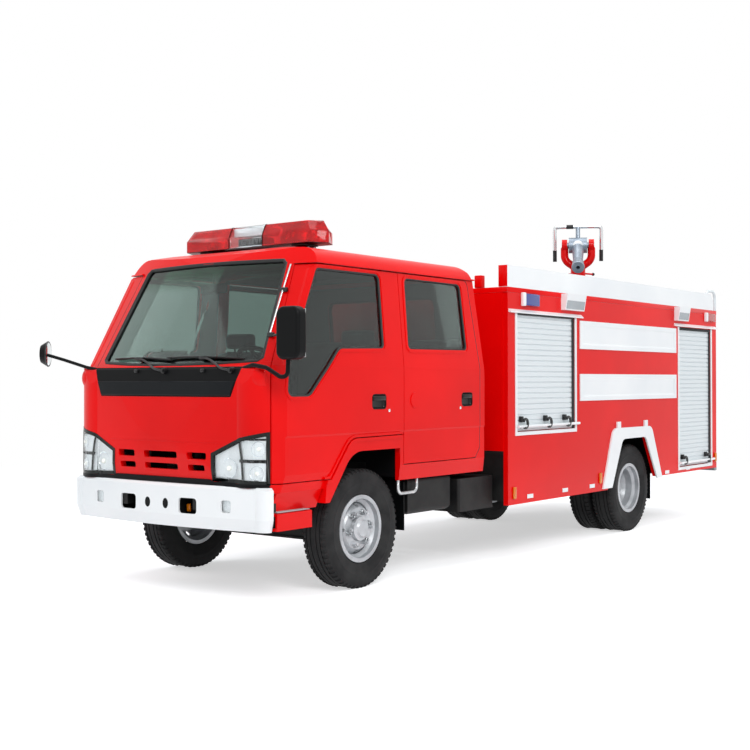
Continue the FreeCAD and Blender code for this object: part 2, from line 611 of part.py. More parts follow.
def cab():
    relief = side_relief()
    outer = cab_block(0).cut(relief).cut(mirrored(relief))
    inner = cab_block(CAB_WALL)
    shell = outer.cut(inner)
    lip_layer = raised(LIP_HEIGHT, 2 * CREASE_DEPTH)

    side_region = along_y([(800, 500), (800, 1450), (704, 2092), (1100, 2092), (1100, 500)], -1200, 1600)
    wider = [(800 - PANEL_GAP, 500), (800 - PANEL_GAP, 1450), (704 - PANEL_GAP, 2092 + PANEL_GAP),
             (1100, 2092 + PANEL_GAP), (1100, 500)]
    wider_region = along_y(wider, -1200, 1600)

    # doors: the wall inside each door's outline, with its window cut out
    glass_outer, glass_inner = cab_block(16), cab_block(16 + GLASS)
    glass_layer = glass_outer.cut(glass_inner)
    for name, outline, window, handle in (("front", FRONT_DOOR, FRONT_WINDOW, FRONT_HANDLE),
                                          ("rear", REAR_DOOR, REAR_WINDOW, REAR_HANDLE)):
        door = shell.common(outline_solid(outline, 0, 600, 1000).common(side_region))
        door = door.fuse(lip_layer.common(ring_solid(window, *WINDOW_LIP, 730, 1000)))
        if name == "front":
            arch_edge = box((700, 1000), (FLARE[0][0], ARCH_BACK), (DOOR_BOTTOM, CREASE + 30))
            door = door.fuse(lip_layer.common(ring_solid(outline, -15, 0, 700, 1000).common(arch_edge)))
        else:
            door = door.fuse(rod((CAB_HALF_WIDTH - 5, 513, 1220), (CAB_HALF_WIDTH + LIP_HEIGHT, 513, 1220), 52))
        door = door.cut(outline_solid(window, 0, 730, 1000))
        door = door.cut(outline_solid(handle, 0, CAB_HALF_WIDTH - HANDLE_POCKET, 1000))
        pane = glass_layer.common(outline_solid(window, -SEAT, 730, 1000).common(side_region))
        put(f"{name}_door_left", door)
        put(f"{name}_door_right", mirrored(door))
        put(f"{name}_door_glass_left", pane)
        put(f"{name}_door_glass_right", mirrored(pane))

    # openings in the shell for the doors, with the shut gap round them
    openings = []
    for outline in (FRONT_DOOR, REAR_DOOR):
        openings.append(outline_solid(outline, PANEL_GAP, 600, 1000).common(wider_region))
    between = box((600, 1000), (DOOR_MIDDLE - 20, DOOR_MIDDLE + 20), (1006, CAB_GUTTER - 5 + PANEL_GAP))
    openings.append(between.common(wider_region))
    frame = shell
    for cut in openings:
        frame = frame.cut(cut).cut(mirrored(cut))

    # windscreen opening, round-cornered, cut along the view from in front
    half = [(0, 1448), (400, 1456), (690, 1470), (722, 1490), (636, 2092), (608, 2116), (0, 2122)]
    screen = half + [(-x, z) for x, z in reversed(half[1:-1])]
    foot = SCREEN_BOTTOM[1] - 60
    slab = leaning(screen_outline(), 0, foot, 800).cut(leaning(screen_outline(), 2 * CAB_WALL, foot, 800))
    hole = along_y(screen, -1200, -300)
    pane_hole = face([V(x, -1200, z) for x, z in screen]).makeOffset2D(-SEAT).extrude(V(0, 900, 0))
    screen_cut = hole.common(slab)
    pane = glass_layer.common(pane_hole.common(slab))
    frame = frame.cut(screen_cut)

    # rear window in the back wall
    rear_cut = round_edges(box((-520, 520), (1100, 1600), (1560, 1980)), 60,
                           lambda e, m: abs(e.Vertexes[0].Point.y - e.Vertexes[-1].Point.y) > 400)
    rear_pane_cut = round_edges(box((-519.7, 519.7), (1100, 1600), (1560.3, 1979.7)), 60,
                                lambda e, m: abs(e.Vertexes[0].Point.y - e.Vertexes[-1].Point.y) > 400)
    put("cab_glass", pane, glass_layer.common(rear_pane_cut))
    frame = frame.cut(rear_cut)

    # the wheel arches and the floor line
    below_doors = box((-1000, 1000), (DOOR_FRONT - 4, 1500), (0, CAB_SILL))
    frame = frame.cut(below_doors)
    arch = arch_space()
    frame = frame.cut(arch).cut(mirrored(arch))
    flare = raised(FLARE_HEIGHT, CAB_WALL).common(outline_solid(FLARE, 0, 700, 1000))
    flare_lip = ring_solid(FRONT_DOOR, PANEL_GAP, PANEL_GAP + 22, 700, 1000)
    flare_lip = raised(FLARE_LIP, CAB_WALL).common(flare_lip).common(outline_solid(FLARE, 0, 700, 1000))
    flare = flare.cut(outline_solid(FRONT_DOOR, PANEL_GAP, 690, 1010)).fuse(flare_lip).cut(arch)
    frame = frame.fuse(flare).fuse(mirrored(flare)).removeSplitter()

    # a hoop of centre pillars inside the doors, up to the roof
    slice_y = (DOOR_MIDDLE - 32, DOOR_MIDDLE + 32)
    hoop = cab_block(CAB_WALL + PANEL_GAP).cut(cab_block(CAB_WALL + 48))
    hoop = hoop.common(box((-1000, 1000), slice_y, (ARCH_TOP + 12 + CAB_FLOOR_THICKNESS + SEAT, CAB_GUTTER)))
    crown = cab_block(CAB_WALL).cut(cab_block(CAB_WALL + 48))
    crown = crown.common(box((-1000, 1000), slice_y, (CAB_GUTTER - 1, CAB_ROOF)))

    # split where the real panels meet
    seam = 0.3
    roof = frame.common(box((-1000, 1000), (-700, 1500), (CAB_GUTTER + 2, 2400)))
    frame = frame.cut(box((-1000, 1000), (-700, 1500), (CAB_GUTTER + 2 - seam, 2400)))
    gutter = raised(GUTTER_REACH, 10).common(box((700, 1000), (-640, CAB_REAR - 40), (CAB_GUTTER + 3, CAB_GUTTER + 13)))
    put("cab_roof", fuse([roof, hoop.cut(box((-640, 640), slice_y, (600, 2400))), crown] + pair(gutter)))
    back = frame.common(box((-1000, 1000), (DOOR_REAR - 155, 1500), (600, 2400)))
    put("cab_back_wall", back.cut(box((-400, 400), (1300, 1500), (600, RAIL_TOP + 20))))
    frame = frame.cut(box((-1000, 1000), (DOOR_REAR - 155 - seam, 1500), (600, 2400)))
    front = frame.common(box((-1000, 1000), (-1200, -700), (600, 1470)))
    frame = frame.cut(box((-1000, 1000), (-1200, -700), (600, 1470 + seam)))
    put("cab_pillars", *frame.Solids)
    cab_front(front)


def arch_space():
    """Space round the front wheel, open below and to the side."""
    yz = [(-450, 540), (-180, ARCH_TOP, 200), (ARCH_BACK, ARCH_TOP), (ARCH_BACK, 400), (-450, 400)]
    return outline_solid(yz, 0, 420, 1100)


GRILLE = [(-436, 753), (436, 753), (434, 918), (495, 946), (499, 972), (-499, 972), (-495, 946), (-434, 918)]
LID = [(-499, 977), (499, 977), (545, 1060), (590, 1250), (-590, 1250), (-545, 1060)]
COWL = [(-592, 1254), (592, 1254), (672, 1440), (-672, 1440)]
LAMP = [(442, 742), (440, 912), (661, 1010), (897, 1058), (930, 1058), (930, 728), (860, 728)]


def front_prism(xz, shrink=0.0):
    outline = face([V(x, -1150, z) for x, z in xz])
    if shrink:
        outline = outline.makeOffset2D(-shrink)
    return outline.extrude(V(0, 1150 - 702, 0))


def cab_front(wall):
    """The front wall, with the grille, the lid, the cowl panel and the headlamps let into it."""
    lamp_room = box((400, 1000), (-1150, DOOR_FRONT - 4), (600, 1100))
    left_lamp = front_prism(LAMP).common(lamp_room)
    grille_sheet = wall.common(front_prism(GRILLE, 0.3))
    cowl = wall.common(front_prism(COWL, 0.3))
    panel = wall.common(front_prism(LID, SEAT))
    lamp = wall.common(front_prism(LAMP, 0.3).common(lamp_room))
    for prism in (front_prism(GRILLE), front_prism(COWL), front_prism(LID), left_lamp, mirrored(left_lamp)):
        wall = wall.cut(prism)
    band = box((-1000, 1000), (-1100, DOOR_FRONT - 4), (600, BUMPER_TOP + 5))
    wall = wall.cut(band)

    slots = []
    for z0, z1 in ((798, 836), (870, 912)):
        slots.append(round_edges(box((-150, 150), (-1150, -700), (z0, z1)), 12, lambda e, m: e.Length > 440))
        for sign in (1, -1):
            side = box((sign * 240, sign * (385 if z0 < 850 else 400)), (-1150, -700), (z0, z1))
            slots.append(round_edges(side, 12, lambda e, m: e.Length > 440))
    for slot in slots:
        grille_sheet = grille_sheet.cut(slot)
    put("front_grille", grille_sheet)
    put("cowl_panel", cowl)
    put("front_centre_panel", panel)
    put("front_lamps", *pair(lamp), *bumper())
    bulge = Part.makeSphere(BULGE_RADIUS, V(768, BULGE_Y, 1372)).cut(cab_block(20))
    bulge = bulge.common(box((690, 835), (CAB_FRONT, DOOR_FRONT - 8), (1320, 1440)))
    put("cab_front_panel", fuse([wall] + pair(bulge)))


def cab_floor():
    """A stepped floor: low footwells, over the wheel arches between them, and a hood over the engine."""
    t = CAB_FLOOR_THICKNESS
    low, high, rear = FLOOR_FRONT, ARCH_TOP + 12, FLOOR_REAR
    front, back = -930.0, CAB_REAR - CAB_WALL - 0.3
    profile = [(front, low), (-470, low), (-300, 860), (-170, high), (ARCH_BACK + 12, high), (ARCH_BACK + 12, rear),
               (back, rear), (back, rear + t), (ARCH_BACK + 12 + t, rear + t), (ARCH_BACK + 12 + t, high + t),
               (-182, high + t), (-330, 860 + t), (-485, low + t), (front, low + t)]
    sill_x = CAB_HALF_WIDTH - CAB_WALL - 0.3
    x = CAB_HALF_WIDTH - CAB_WALL - PANEL_GAP
    floor = along_x(profile, -x, x)
    for sign in (1, -1):
        floor = floor.cut(box((sign * DASH_HALF_WIDTH, sign * 1000), (-1000, DOOR_FRONT + 70), (low - 1, low + t + 1)))
    nose = cab_block(CAB_WALL + 0.3)
    hood_out = along_x([(-470, low), (-470, 960), (-400, 1040), (440, 1040), (510, 960), (510, rear)], -300, 300)
    hood_in = along_x([(-430, low - 1), (-430, 945), (-385, 1008), (435, 1008), (478, 945), (478, low - 1)], -262, 262)
    floor = floor.fuse(hood_out).cut(hood_in).common(nose)
    sills = []
    for sign in (1, -1):
        sills.append(box((sign * sill_x, sign * 600), (ARCH_BACK + 12, 1180), (700, DOOR_BOTTOM - PANEL_GAP)))
        sills.append(box((sign * x, sign * 600), (ARCH_BACK + 12, 1180), (DOOR_BOTTOM - PANEL_GAP - 1, rear + 1)))
        sills.append(box((sign * sill_x, sign * (x - 20)), (DOOR_MIDDLE + 60, 1180), (rear + 4, rear + 24)))
    put("cab_floor", fuse([floor] + sills))


def seat_shape(x, y, width, floor):
    """A seat's cushion and back, on a plinth."""
    base = box((x - width / 2 + 30, x + width / 2 - 30), (y - 190, y + 190), (floor, floor + 90))
    cushion = round_edges(box((x - width / 2, x + width / 2), (y - 250, y + 230), (floor + 90, floor + 230)), 35,
                          lambda e, m: upright(e) or m.z > floor + 200)
    back = face([V(x - width / 2, y + 150, floor + 200), V(x - width / 2, y + 250, floor + 760),
                 V(x - width / 2, y + 350, floor + 750), V(x - width / 2, y + 290, floor + 160)])
    return fuse([base, cushion, back.extrude(V(width, 0, 0))])


def interior():
    high = ARCH_TOP + 12 + CAB_FLOOR_THICKNESS
    front_seats = pair(seat_shape(555, 45, 440, high))
    rear = FLOOR_REAR + CAB_FLOOR_THICKNESS
    base = box((-800, 800), (880, 1290), (rear, rear + 250))
    cushion = round_edges(box((-820, 820), (830, 1290), (rear + 250, rear + 370)), 35,
                          lambda e, m: m.y < 840 and m.z > rear + 300)
    back = along_x([(1190, rear + 340), (1230, rear + 860), (1310, rear + 860), (1340, rear + 340)], -780, 780)
    put("seats", *front_seats, fuse([base, cushion, back]))
    dash = along_x([(-900, 1120), (-905, 1390), (-860, 1430), (-700, 1420), (-620, 1330), (-640, 1240), (-760, 1120)],
                   -DASH_HALF_WIDTH, DASH_HALF_WIDTH).common(cab_block(CAB_WALL + 0.3))
    for sign in (1, -1):
        support = box((sign * 200, sign * 260), (-880, -740), (FLOOR_FRONT + CAB_FLOOR_THICKNESS, 1200))
        dash = dash.fuse(support)
    x = 430.0
    hub_at = V(x, -470, 1440)
    axis = V(0, 0.62, 0.78).normalize()
    ring = Part.makeTorus(195, 15, hub_at, axis)
    boss = Part.makeCylinder(45, 40, hub_at - axis * 40, axis)
    column = Part.makeCylinder(28, 330, hub_at - axis * 350, axis)
    spokes = []
    for direction in (V(1, 0, 0), V(-1, 0, 0), V(0, -0.78, 0.62)):
        spokes.append(rod(tuple(hub_at - axis * 8), tuple(hub_at - axis * 2 + direction * 190), 12))
    sleeve = Part.makeCylinder(28 + SEAT, 350, hub_at - axis * 360, axis)
    put("dashboard", dash.cut(sleeve).removeSplitter())
    put("steering_wheel", fuse([ring, boss, column] + spokes))


# ---------------------------------------------------------------- bumper and front fittings
def bumper_plan(inset, z):
    """The bumper's plan at a height: a bowed front with rounded corners, open to the cab behind."""
    w = BUMPER_HALF_WIDTH - inset
    y0 = BUMPER_FRONT + inset
    end = y0 + BUMPER_BOW
    nose = Part.Arc(V(-w + 90, end, z), V(0, y0, z), V(w - 90, end, z)).toShape()
    back = DOOR_FRONT - PANEL_GAP
    turn = end + 30
    left = Part.Arc(V(w - 90, end, z), V(w - 22, end + 8, z), V(w, turn, z)).toShape()
    right = Part.Arc(V(-w, turn, z), V(-w + 22, end + 8, z), V(-w + 90, end, z)).toShape()
    lines = [Part.LineSegment(V(w, turn, z), V(w, back, z)).toShape(),
             Part.LineSegment(V(w, back, z), V(-w, back, z)).toShape(),
             Part.LineSegment(V(-w, back, z), V(-w, turn, z)).toShape()]
    return Part.Wire(Part.__sortEdges__([right, nose, left] + lines))


def bumper_band(low_inset, low, high_inset, high):
    """A stretch of the bumper between the plans at two heights."""
    return Part.makeLoft([bumper_plan(low_inset, low), bumper_plan(high_inset, high)], True, True)


def bumper():
    wall, crease, ledge = BUMPER_WALL, BUMPER_BOTTOM + BUMPER_CREASE, BUMPER_TOP - BUMPER_LEDGE
    bar = fuse([bumper_band(BUMPER_RAKE, BUMPER_BOTTOM, 0, crease), bumper_band(0, crease, 0, ledge),
                bumper_band(0, ledge, BUMPER_LEDGE, BUMPER_TOP)])
    bar = bar.cut(bumper_band(wall + BUMPER_RAKE, BUMPER_BOTTOM + wall, wall, crease))
    bar = bar.cut(bumper_band(wall, crease, wall, ledge))
    open_back = box((-BUMPER_HALF_WIDTH + wall + BUMPER_RAKE, BUMPER_HALF_WIDTH - wall - BUMPER_RAKE), (-930, -700),
                    (BUMPER_BOTTOM + wall, ledge))
    bar = bar.cut(open_back)
    cuts = []
    for sign in (1, -1):
        cuts.append(round_edges(box((sign * 195, sign * 345), (-1100, -940), (536, 632)), 22, lambda e, m: e.Length > 150))
        cuts.append(round_edges(box((sign * 536, sign * 612), (-1100, -900), (558, 632)), 14, lambda e, m: e.Length > 150))
        cuts.append(round_edges(box((sign * 64, sign * 99), (-1100, -940), (565, 615)), 15, lambda e, m: e.Length > 150))
    for cut in cuts:
        bar = bar.cut(cut)
    put("front_bumper", bar)
    lamps = []
    for sign in (1, -1):
        lens = Part.makeCylinder(33, 50, V(sign * 574, -984, 595), V(0, 1, 0))
        plate = box((sign * 525, sign * 620), (-967, -950), (545, 645))
        lamps.append(lens.fuse(plate))
    return lamps


def entry_steps():
    """The red step panels under the front doors, each with its ledge, and the bent-rod steps under the rear doors."""
    sill_x, sill = CAB_HALF_WIDTH - ROLL_DEPTH - 1, CAB_SILL - 0.3
    edge, back, plate = CAB_HALF_WIDTH - 12, 838, 15
    fascia = [(sill_x, sill), (back, STEP_TOP), (back - plate, STEP_TOP), (sill_x - plate, sill)]
    ledge = [(back + 1, STEP_TOP), (edge, STEP_TOP - 6), (edge, 456), (edge - 60, 456), (edge - 60, 474),
             (edge - plate, 474), (edge - plate, STEP_TOP - 21), (640, STEP_TOP - 21), (640, FLOOR_FRONT - 0.3),
             (640 + plate, FLOOR_FRONT - 0.3), (640 + plate, STEP_TOP)]
    panel = along_y(fascia, -876, FLARE[0][0] - 3).cut(arch_space())
    panel = panel.fuse(along_y(ledge, -876, -560)).removeSplitter()
    rod_step = tube([(sill_x - 10, 352, sill), (sill_x - 10, 352, 590), (sill_x - 10, 568, 590),
                     (sill_x - 10, 568, sill)], 11, 45)
    put("cab_steps", *pair(panel), *pair(rod_step))


def mirrors():
    """The main mirror on the truck's left and the round kerb mirror on its right, on bent arms from the cowl."""
    head = box((MIRROR_REACH - 178, MIRROR_REACH), (-1012, -930), (1475, 1785))
    head = round_edges(head, 52, lambda e, m: abs(m.y + 971) < 1)
    head = round_edges(head, 20, lambda e, m: True)
    post = MIRROR_REACH - 120
    arm = tube([(650, -925, 1425), (760, -945, 1448), (post - 175, -955, 1430), (post - 55, -960, 1372),
                (post - 5, -960, 1385), (post, -960, 1500)], 13, 60)
    arm_right = tube([(-650, -925, 1425), (-760, -950, 1445), (215 - MIRROR_REACH, -985, 1498),
                      (100 - MIRROR_REACH, -1052, 1536)], 11, 80)
    centre = V(-MIRROR_REACH + 74, -1003, 1538)
    normal = V(math.sin(math.radians(50)), math.cos(math.radians(50)), 0)
    dish = Part.makeCone(88, 60, 45, centre, normal * -1)
    skin = cab_block(-SEAT)
    put("mirrors", fuse([head, arm]).cut(skin), fuse([arm_right, dish]).cut(skin))


def light_bar():
    y0 = -88.0
    outline = [(-571, -209), (571, -209), (640, y0), (571, 33), (-571, 33), (-640, y0)]
    lower = along_z(outline, 2262, 2338)
    top_outline = face([V(x * 0.93, y0 + (y - y0) * 0.7, 2412) for x, y in outline])
    bottom_wire = Part.makePolygon([V(x, y, 2338) for x, y in outline] + [V(*outline[0], 2338)])
    upper = Part.makeLoft([bottom_wire, top_outline.OuterWire], True, True)
    body = lower.fuse(upper)
    feet = [box((sign * 430 - 40, sign * 430 + 40), (-140, -20), (CAB_ROOF - 50, 2263)) for sign in (1, -1)]
    roof = cab_block(-SEAT)
    put("light_bar", fuse([body] + [foot.cut(roof) for foot in feet]))


def tanks():
    """What hangs beside the rails: the fuel tank, the battery box and a tall locker on each side of the gap."""
    rail = RAIL_OUTSIDE + 0.3
    fuel = round_edges(box((430, 850), (500, 1020), (430, 690)), 40, lambda e, m: abs(m.z - 560) > 100)
    battery = box((-840, -430), (520, 960), (440, 660))
    solids = []
    for tank, sign, stations in ((fuel, 1, (600, 900)), (battery, -1, (600, 880))):
        for y in stations:
            tank = tank.fuse(box((sign * rail, sign * 440), (y - 20, y + 20), (540, 640)))
        solids.append(tank)
    for sign in (1, -1):
        locker = round_edges(box((sign * 470, sign * 880), (1090, 1560), (400, 640)), 20, lambda e, m: upright(e))
        for y in (1200, 1440):
            locker = locker.fuse(box((sign * rail, sign * 480), (y - 20, y + 20), (540, 639)))
        solids.append(locker)
    put("tanks_and_lockers", *solids)
    pipe = tube([(-200, 905, 525), (-200, 1040, 430), (-230, 1400, 430), (-230, 2900, 430)], 32, 150)
    silencer = rod((-230, 1950, 430), (-230, 2600, 430), 95)
    hanger = box((-250, -210), (2480, 2520), (500, RAIL_TOP - RAIL_HEIGHT + 45 - SEAT))
    put("exhaust", fuse([pipe, silencer, hanger]))
    flaps = []
    for sign in (1, -1):
        flap = box((sign * 610, sign * 850), (455, 463), (330, 660))
        flap = flap.fuse(box((sign * rail, sign * 611), (455, 470), (600, 640)))
        flaps.append(flap)
        rear = box((sign * 520, sign * 900), (TRAY_ENDS[1] - SEAT - 8, TRAY_ENDS[1] - SEAT), (250, SKIRT_REAR + 90))
        flaps.append(rear)
    put("mudflaps", *flaps)


# ---------------------------------------------------------------- fire body
# Outlines round the rear wheels, in Y from the rear axle and in Z
REAR_ARCH = [(-345, 850), (-235, 870), (185, 870)]
REAR_ARCH_FRONT, REAR_ARCH_BACK = -565, 425
REAR_ARCH_TRIM = [(-676, 427), (-478, 938, 90), (296, 937, 90), (522, 453), (415, 452), (172, 842, 70),
                  (-298, 838, 80), (-506, 427)]
ARCH_LUGS = (-367, 180)
FRAME_WIDTH = 28.0
WHEEL_BOX = (-590, 455)
TRAY_ENDS = (WHEELBASE - 615, WHEELBASE + 475)


def at_rear_axle(points):
    """Points laid out from the rear axle, with their corners' radii, moved to their place."""
    return [(WHEELBASE + point[0], *point[1:]) for point in points]


def fire_body():
    w, t = BODY_HALF_WIDTH, BODY_WALL
    y0, y1, top, floor = BODY_FRONT, BODY_REAR, BODY_TOP, BODY_FLOOR
    arch = [(REAR_ARCH_FRONT, SKIRT_FRONT)] + REAR_ARCH + [(REAR_ARCH_BACK, SKIRT_REAR)]
    side_outline = [(y0 + 6, SKIRT_FRONT)] + at_rear_axle(arch)
    side_outline += [(y1 - 6, SKIRT_REAR), (y1 - 6, top - t - 0.3), (y0 + 6, top - t - 0.3)]
    side = along_x(side_outline, w - t, w)
    for ya, yb, za, zb in (FRONT_SHUTTER, REAR_SHUTTER):
        side = side.cut(box((w - t - 1, w + 1), (ya, yb), (za, zb)))
    put("body_sides", *pair(side))

    deck = box((-w, w), (y0, y1), (top - t, top))
    tread = box((TREAD_SIDE - w, w - TREAD_SIDE), (y0 + TREAD_SIDE, MONITOR_Y - 200), (top - 1, top + TREAD_PLATE))
    put("body_deck", deck.fuse(tread).removeSplitter())
    inner = w - t - 0.3
    front_wall = box((-inner, inner), (y0, y0 + t), (floor + 0.3, top - t - 0.3))
    floor_plate = box((-inner, inner), (y0, y1 - t - 0.3), (floor - 30, floor))
    well = box((REAR_INNER_X - 140, w + 10), (WHEELBASE - 460, WHEELBASE + 430), (floor - 60, floor + 10))
    floor_plate = floor_plate.cut(well).cut(mirrored(well))
    housings = []
    for sign in (1, -1):
        ya, yb = WHEELBASE + WHEEL_BOX[0], WHEELBASE + WHEEL_BOX[1]
        cover_out = box((sign * (REAR_INNER_X - 170), sign * inner), (ya, yb), (floor - 1, 900))
        cover_in = box((sign * (REAR_INNER_X - 140), sign * (inner + 5)), (ya + 30, yb - 30), (floor - 40, 870))
        housings.append(cover_out.cut(cover_in))
    lower = []
    for sign in (1, -1):
        for ya, yb, z in ((y0 + 6, TRAY_ENDS[0], SKIRT_FRONT + 30), (TRAY_ENDS[1], y1 - t - 0.3, SKIRT_REAR + 20)):
            tray = box((sign * 470, sign * inner), (ya, yb), (z, floor - 29))
            hollow = box((sign * 490, sign * (inner + 5)), (ya + 20, yb - 20), (z + 20, floor + 1))
            lower.append(tray.cut(hollow))
            floor_plate = floor_plate.cut(box((sign * 490, sign * (inner - 0)), (ya + 20, yb - 20),
                                              (floor - 40, floor + 10)))
    plate = floor_plate
    for piece in housings + lower:
        plate = plate.fuse(piece)
    for y in DIVIDERS:
        plate = plate.fuse(box((-inner, inner), (y - 10, y + 10), (floor - 1, top - t - 0.3)))
    put("body_floor", plate.removeSplitter())
    x0, x1, z0, z1 = BACK_SHUTTER
    rear = box((-inner, inner), (y1 - t, y1), (SKIRT_REAR + 30, top - t - 0.3))
    rear = rear.cut(box((x0, x1), (y1 - t - 1, y1 + 1), (z0, z1)))
    rear = rear.cut(box((-465, 465), (y1 - t - 1, y1 + 1), (0, floor - 30)))
    put("body_end_walls", front_wall, rear)
    tank = round_edges(box((-560, 560), (DIVIDERS[0] + 10.3, DIVIDERS[1] - 60), (floor + 0.3, 1700)), 60, lambda e, m: upright(e))
    tank = tank.cut(box((-700, 700), (TRAY_ENDS[0], TRAY_ENDS[1] + 10), (floor - 1, 905)))
    put("water_tank", tank)


def slatted(width, height, pitch, depth):
    """A shutter's curtain in its own plane: a saw of rounded slats, drawn out along the width."""
    points = [(0.0, 0.0)]
    count = int(height / pitch)
    step = height / count
    for k in range(count):
        z = k * step
        points += [(depth * 0.45, z + 2), (depth, z + 7), (depth, z + step - 7), (depth * 0.45, z + step - 2)]
    points.append((0.0, height))
    return points


def shutters():
    w, t = BODY_HALF_WIDTH, BODY_WALL
    solids = []
    for ya, yb, za, zb in (FRONT_SHUTTER, REAR_SHUTTER):
        gap = 0.3
        profile = [(w - 26 + d, za + gap + z) for d, z in slatted(0, zb - za - 2 * gap, SLAT_PITCH, 14.0)]
        curtain = along_y(profile, ya + gap, yb - gap)
        bar = round_edges(box((w - 14, w + 8), (ya + 60, yb - 60), (za + 22, za + 50)), 8, lambda e, m: e.Length > 400)
        solids.append(curtain.fuse(bar).removeSplitter())
    solids += [mirrored(solid) for solid in solids]
    x0, x1, z0, z1 = BACK_SHUTTER
    points = [(BODY_REAR - 26 + d, z0 + 0.3 + z) for d, z in slatted(0, z1 - z0 - 0.6, SLAT_PITCH, 14.0)]
    curtain = along_x(points, x0 + 0.3, x1 - 0.3)
    bar = box((-420, 420), (BODY_REAR - 14, BODY_REAR + 8), (z0 + 22, z0 + 50))
    put("roller_shutters", *solids, curtain.fuse(bar).removeSplitter())


def body_trim():
    w = BODY_HALF_WIDTH
    arch_trim = outline_solid(at_rear_axle(REAR_ARCH_TRIM), 0, w + 0.3, w + 14)
    for y in ARCH_LUGS:
        arch_trim = arch_trim.fuse(box((w + 0.3, w + 14), (WHEELBASE + y - 32, WHEELBASE + y + 32), (930, 992)))
    trims = pair(arch_trim.removeSplitter())
    for z0, z1 in ((1614.0, 1847.0), (1184.0, 1406.0)):
        y0, y1 = DIVIDERS[0] + 9, DIVIDERS[1] - 20
        panel = box((w + 0.3, w + 8), (y0, y1), (z0, z1))
        pocket = [(w + 3, z0 + 48), (w + 3, z1 - 48), (w + 9, z1 - 30), (w + 9, z0 + 30)]
        trims += pair(panel.cut(along_y(pocket, y0 + 45, y1 - 45)))
    board = along_x([(BODY_FRONT, BODY_TOP + 0.3), (BODY_REAR - 81, BODY_TOP + 0.3), (BODY_REAR - 81, BOARD_TOP - 65),
                     (BODY_REAR - 148, BOARD_TOP), (BODY_FRONT, BOARD_TOP)], w - 25, w)
    flange = box((w - 75, w - 24), (BODY_FRONT, BODY_FRONT + 12), (BODY_TOP + 0.3, BOARD_TOP))
    board = board.fuse(flange)
    put("roof_boards", *pair(board.removeSplitter()))
    front_hood = (FRONT_SHUTTER[0] - 122, FRONT_SHUTTER[1] + 115, FRONT_SHUTTER[3] - 12)
    rear_hood = (REAR_SHUTTER[0] - 111, REAR_SHUTTER[1] + 125, REAR_SHUTTER[3] + 7)
    for (ya, yb, za, zb), (_, _, hood) in ((FRONT_SHUTTER, front_hood), (REAR_SHUTTER, rear_hood)):
        for y0, y1 in ((ya - FRAME_WIDTH, ya), (yb, yb + FRAME_WIDTH)):
            trims += pair(box((w + 0.3, w + 6), (y0, y1), (za, hood - 6)))
        trims += pair(box((w + 0.3, w + 6), (ya - FRAME_WIDTH, yb + FRAME_WIDTH), (za - FRAME_WIDTH, za - 0.3)))
    for ya, yb, z in (front_hood, rear_hood):
        trims += pair(along_y([(w + 0.3, z), (w + 24, z - 4), (w + 24, z + 4), (w + 0.3, z + 26)], ya, yb))
    put("body_trims", *trims)
    lamps = pair(round_edges(box((w + 0.3, w + 30), (BODY_FRONT + 202, BODY_FRONT + 446), (1929, 2022)), 12, lambda e, m: m.x > w + 25))
    front, rear = FRONT_SHUTTER[1], REAR_SHUTTER[0]
    for y0, y1 in ((front - 226, front + 98), (rear - 105, rear + 145)):
        lamps += pair(along_y([(w + 0.3, 1922), (w + 40, 1922), (w + 62, 2052), (w + 0.3, 2052)], y0, y1))
    lamps += pair(round_edges(box((w + 0.3, w + 28), (BODY_REAR - 310, BODY_REAR - 80), (1945, 2025)), 12, lambda e, m: m.x > w + 25))
    put("body_lamps", *lamps)


def rear_fittings():
    y = BODY_REAR
    bar = round_edges(box((-960, 960), (y + 0.3, y + 60), (430, 520)), 10, lambda e, m: e.Length > 1500)
    for sign in (1, -1):
        bar = bar.fuse(box((sign * 310, sign * 370), (FRAME_REAR + 0.3, y + 1), (501, 519)))
    step = box((-560, 560), (y + 0.3, REACH_REAR), (520, 545))
    pin_hole = Part.makeCylinder(REAR_PIN_BORE, 200, V(0, REACH_REAR - 25, 430))
    put("rear_bumper", fuse([bar, step]).cut(pin_hole))
    lamps = []
    for sign in (1, -1):
        lamps.append(round_edges(box((sign * 700, sign * 930), (y + 0.3, y + 45), (620, 740)), 12,
                                 lambda e, m: m.y > y + 40))
        lamps.append(round_edges(box((sign * 780, sign * 930), (y + 0.3, y + 40), (1880, 1980)), 12,
                                 lambda e, m: m.y > y + 35))
    put("tail_lamps", *lamps)
    x = 790.0
    parts = []
    for dx in (-150, 150):
        parts.append(tube([(x + dx, y + 0.3, 1000), (x + dx, y + 75, 1000), (x + dx, y + 75, 2260),
                           (x + dx, y - 150, 2260), (x + dx, y - 150, BODY_TOP + 0.3)], 14, 70))
    for k in range(4):
        z = 1080 + 260 * k
        parts.append(rod((x - 150, y + 75, z), (x + 150, y + 75, z), 12))
    put("rear_ladder", fuse(parts))


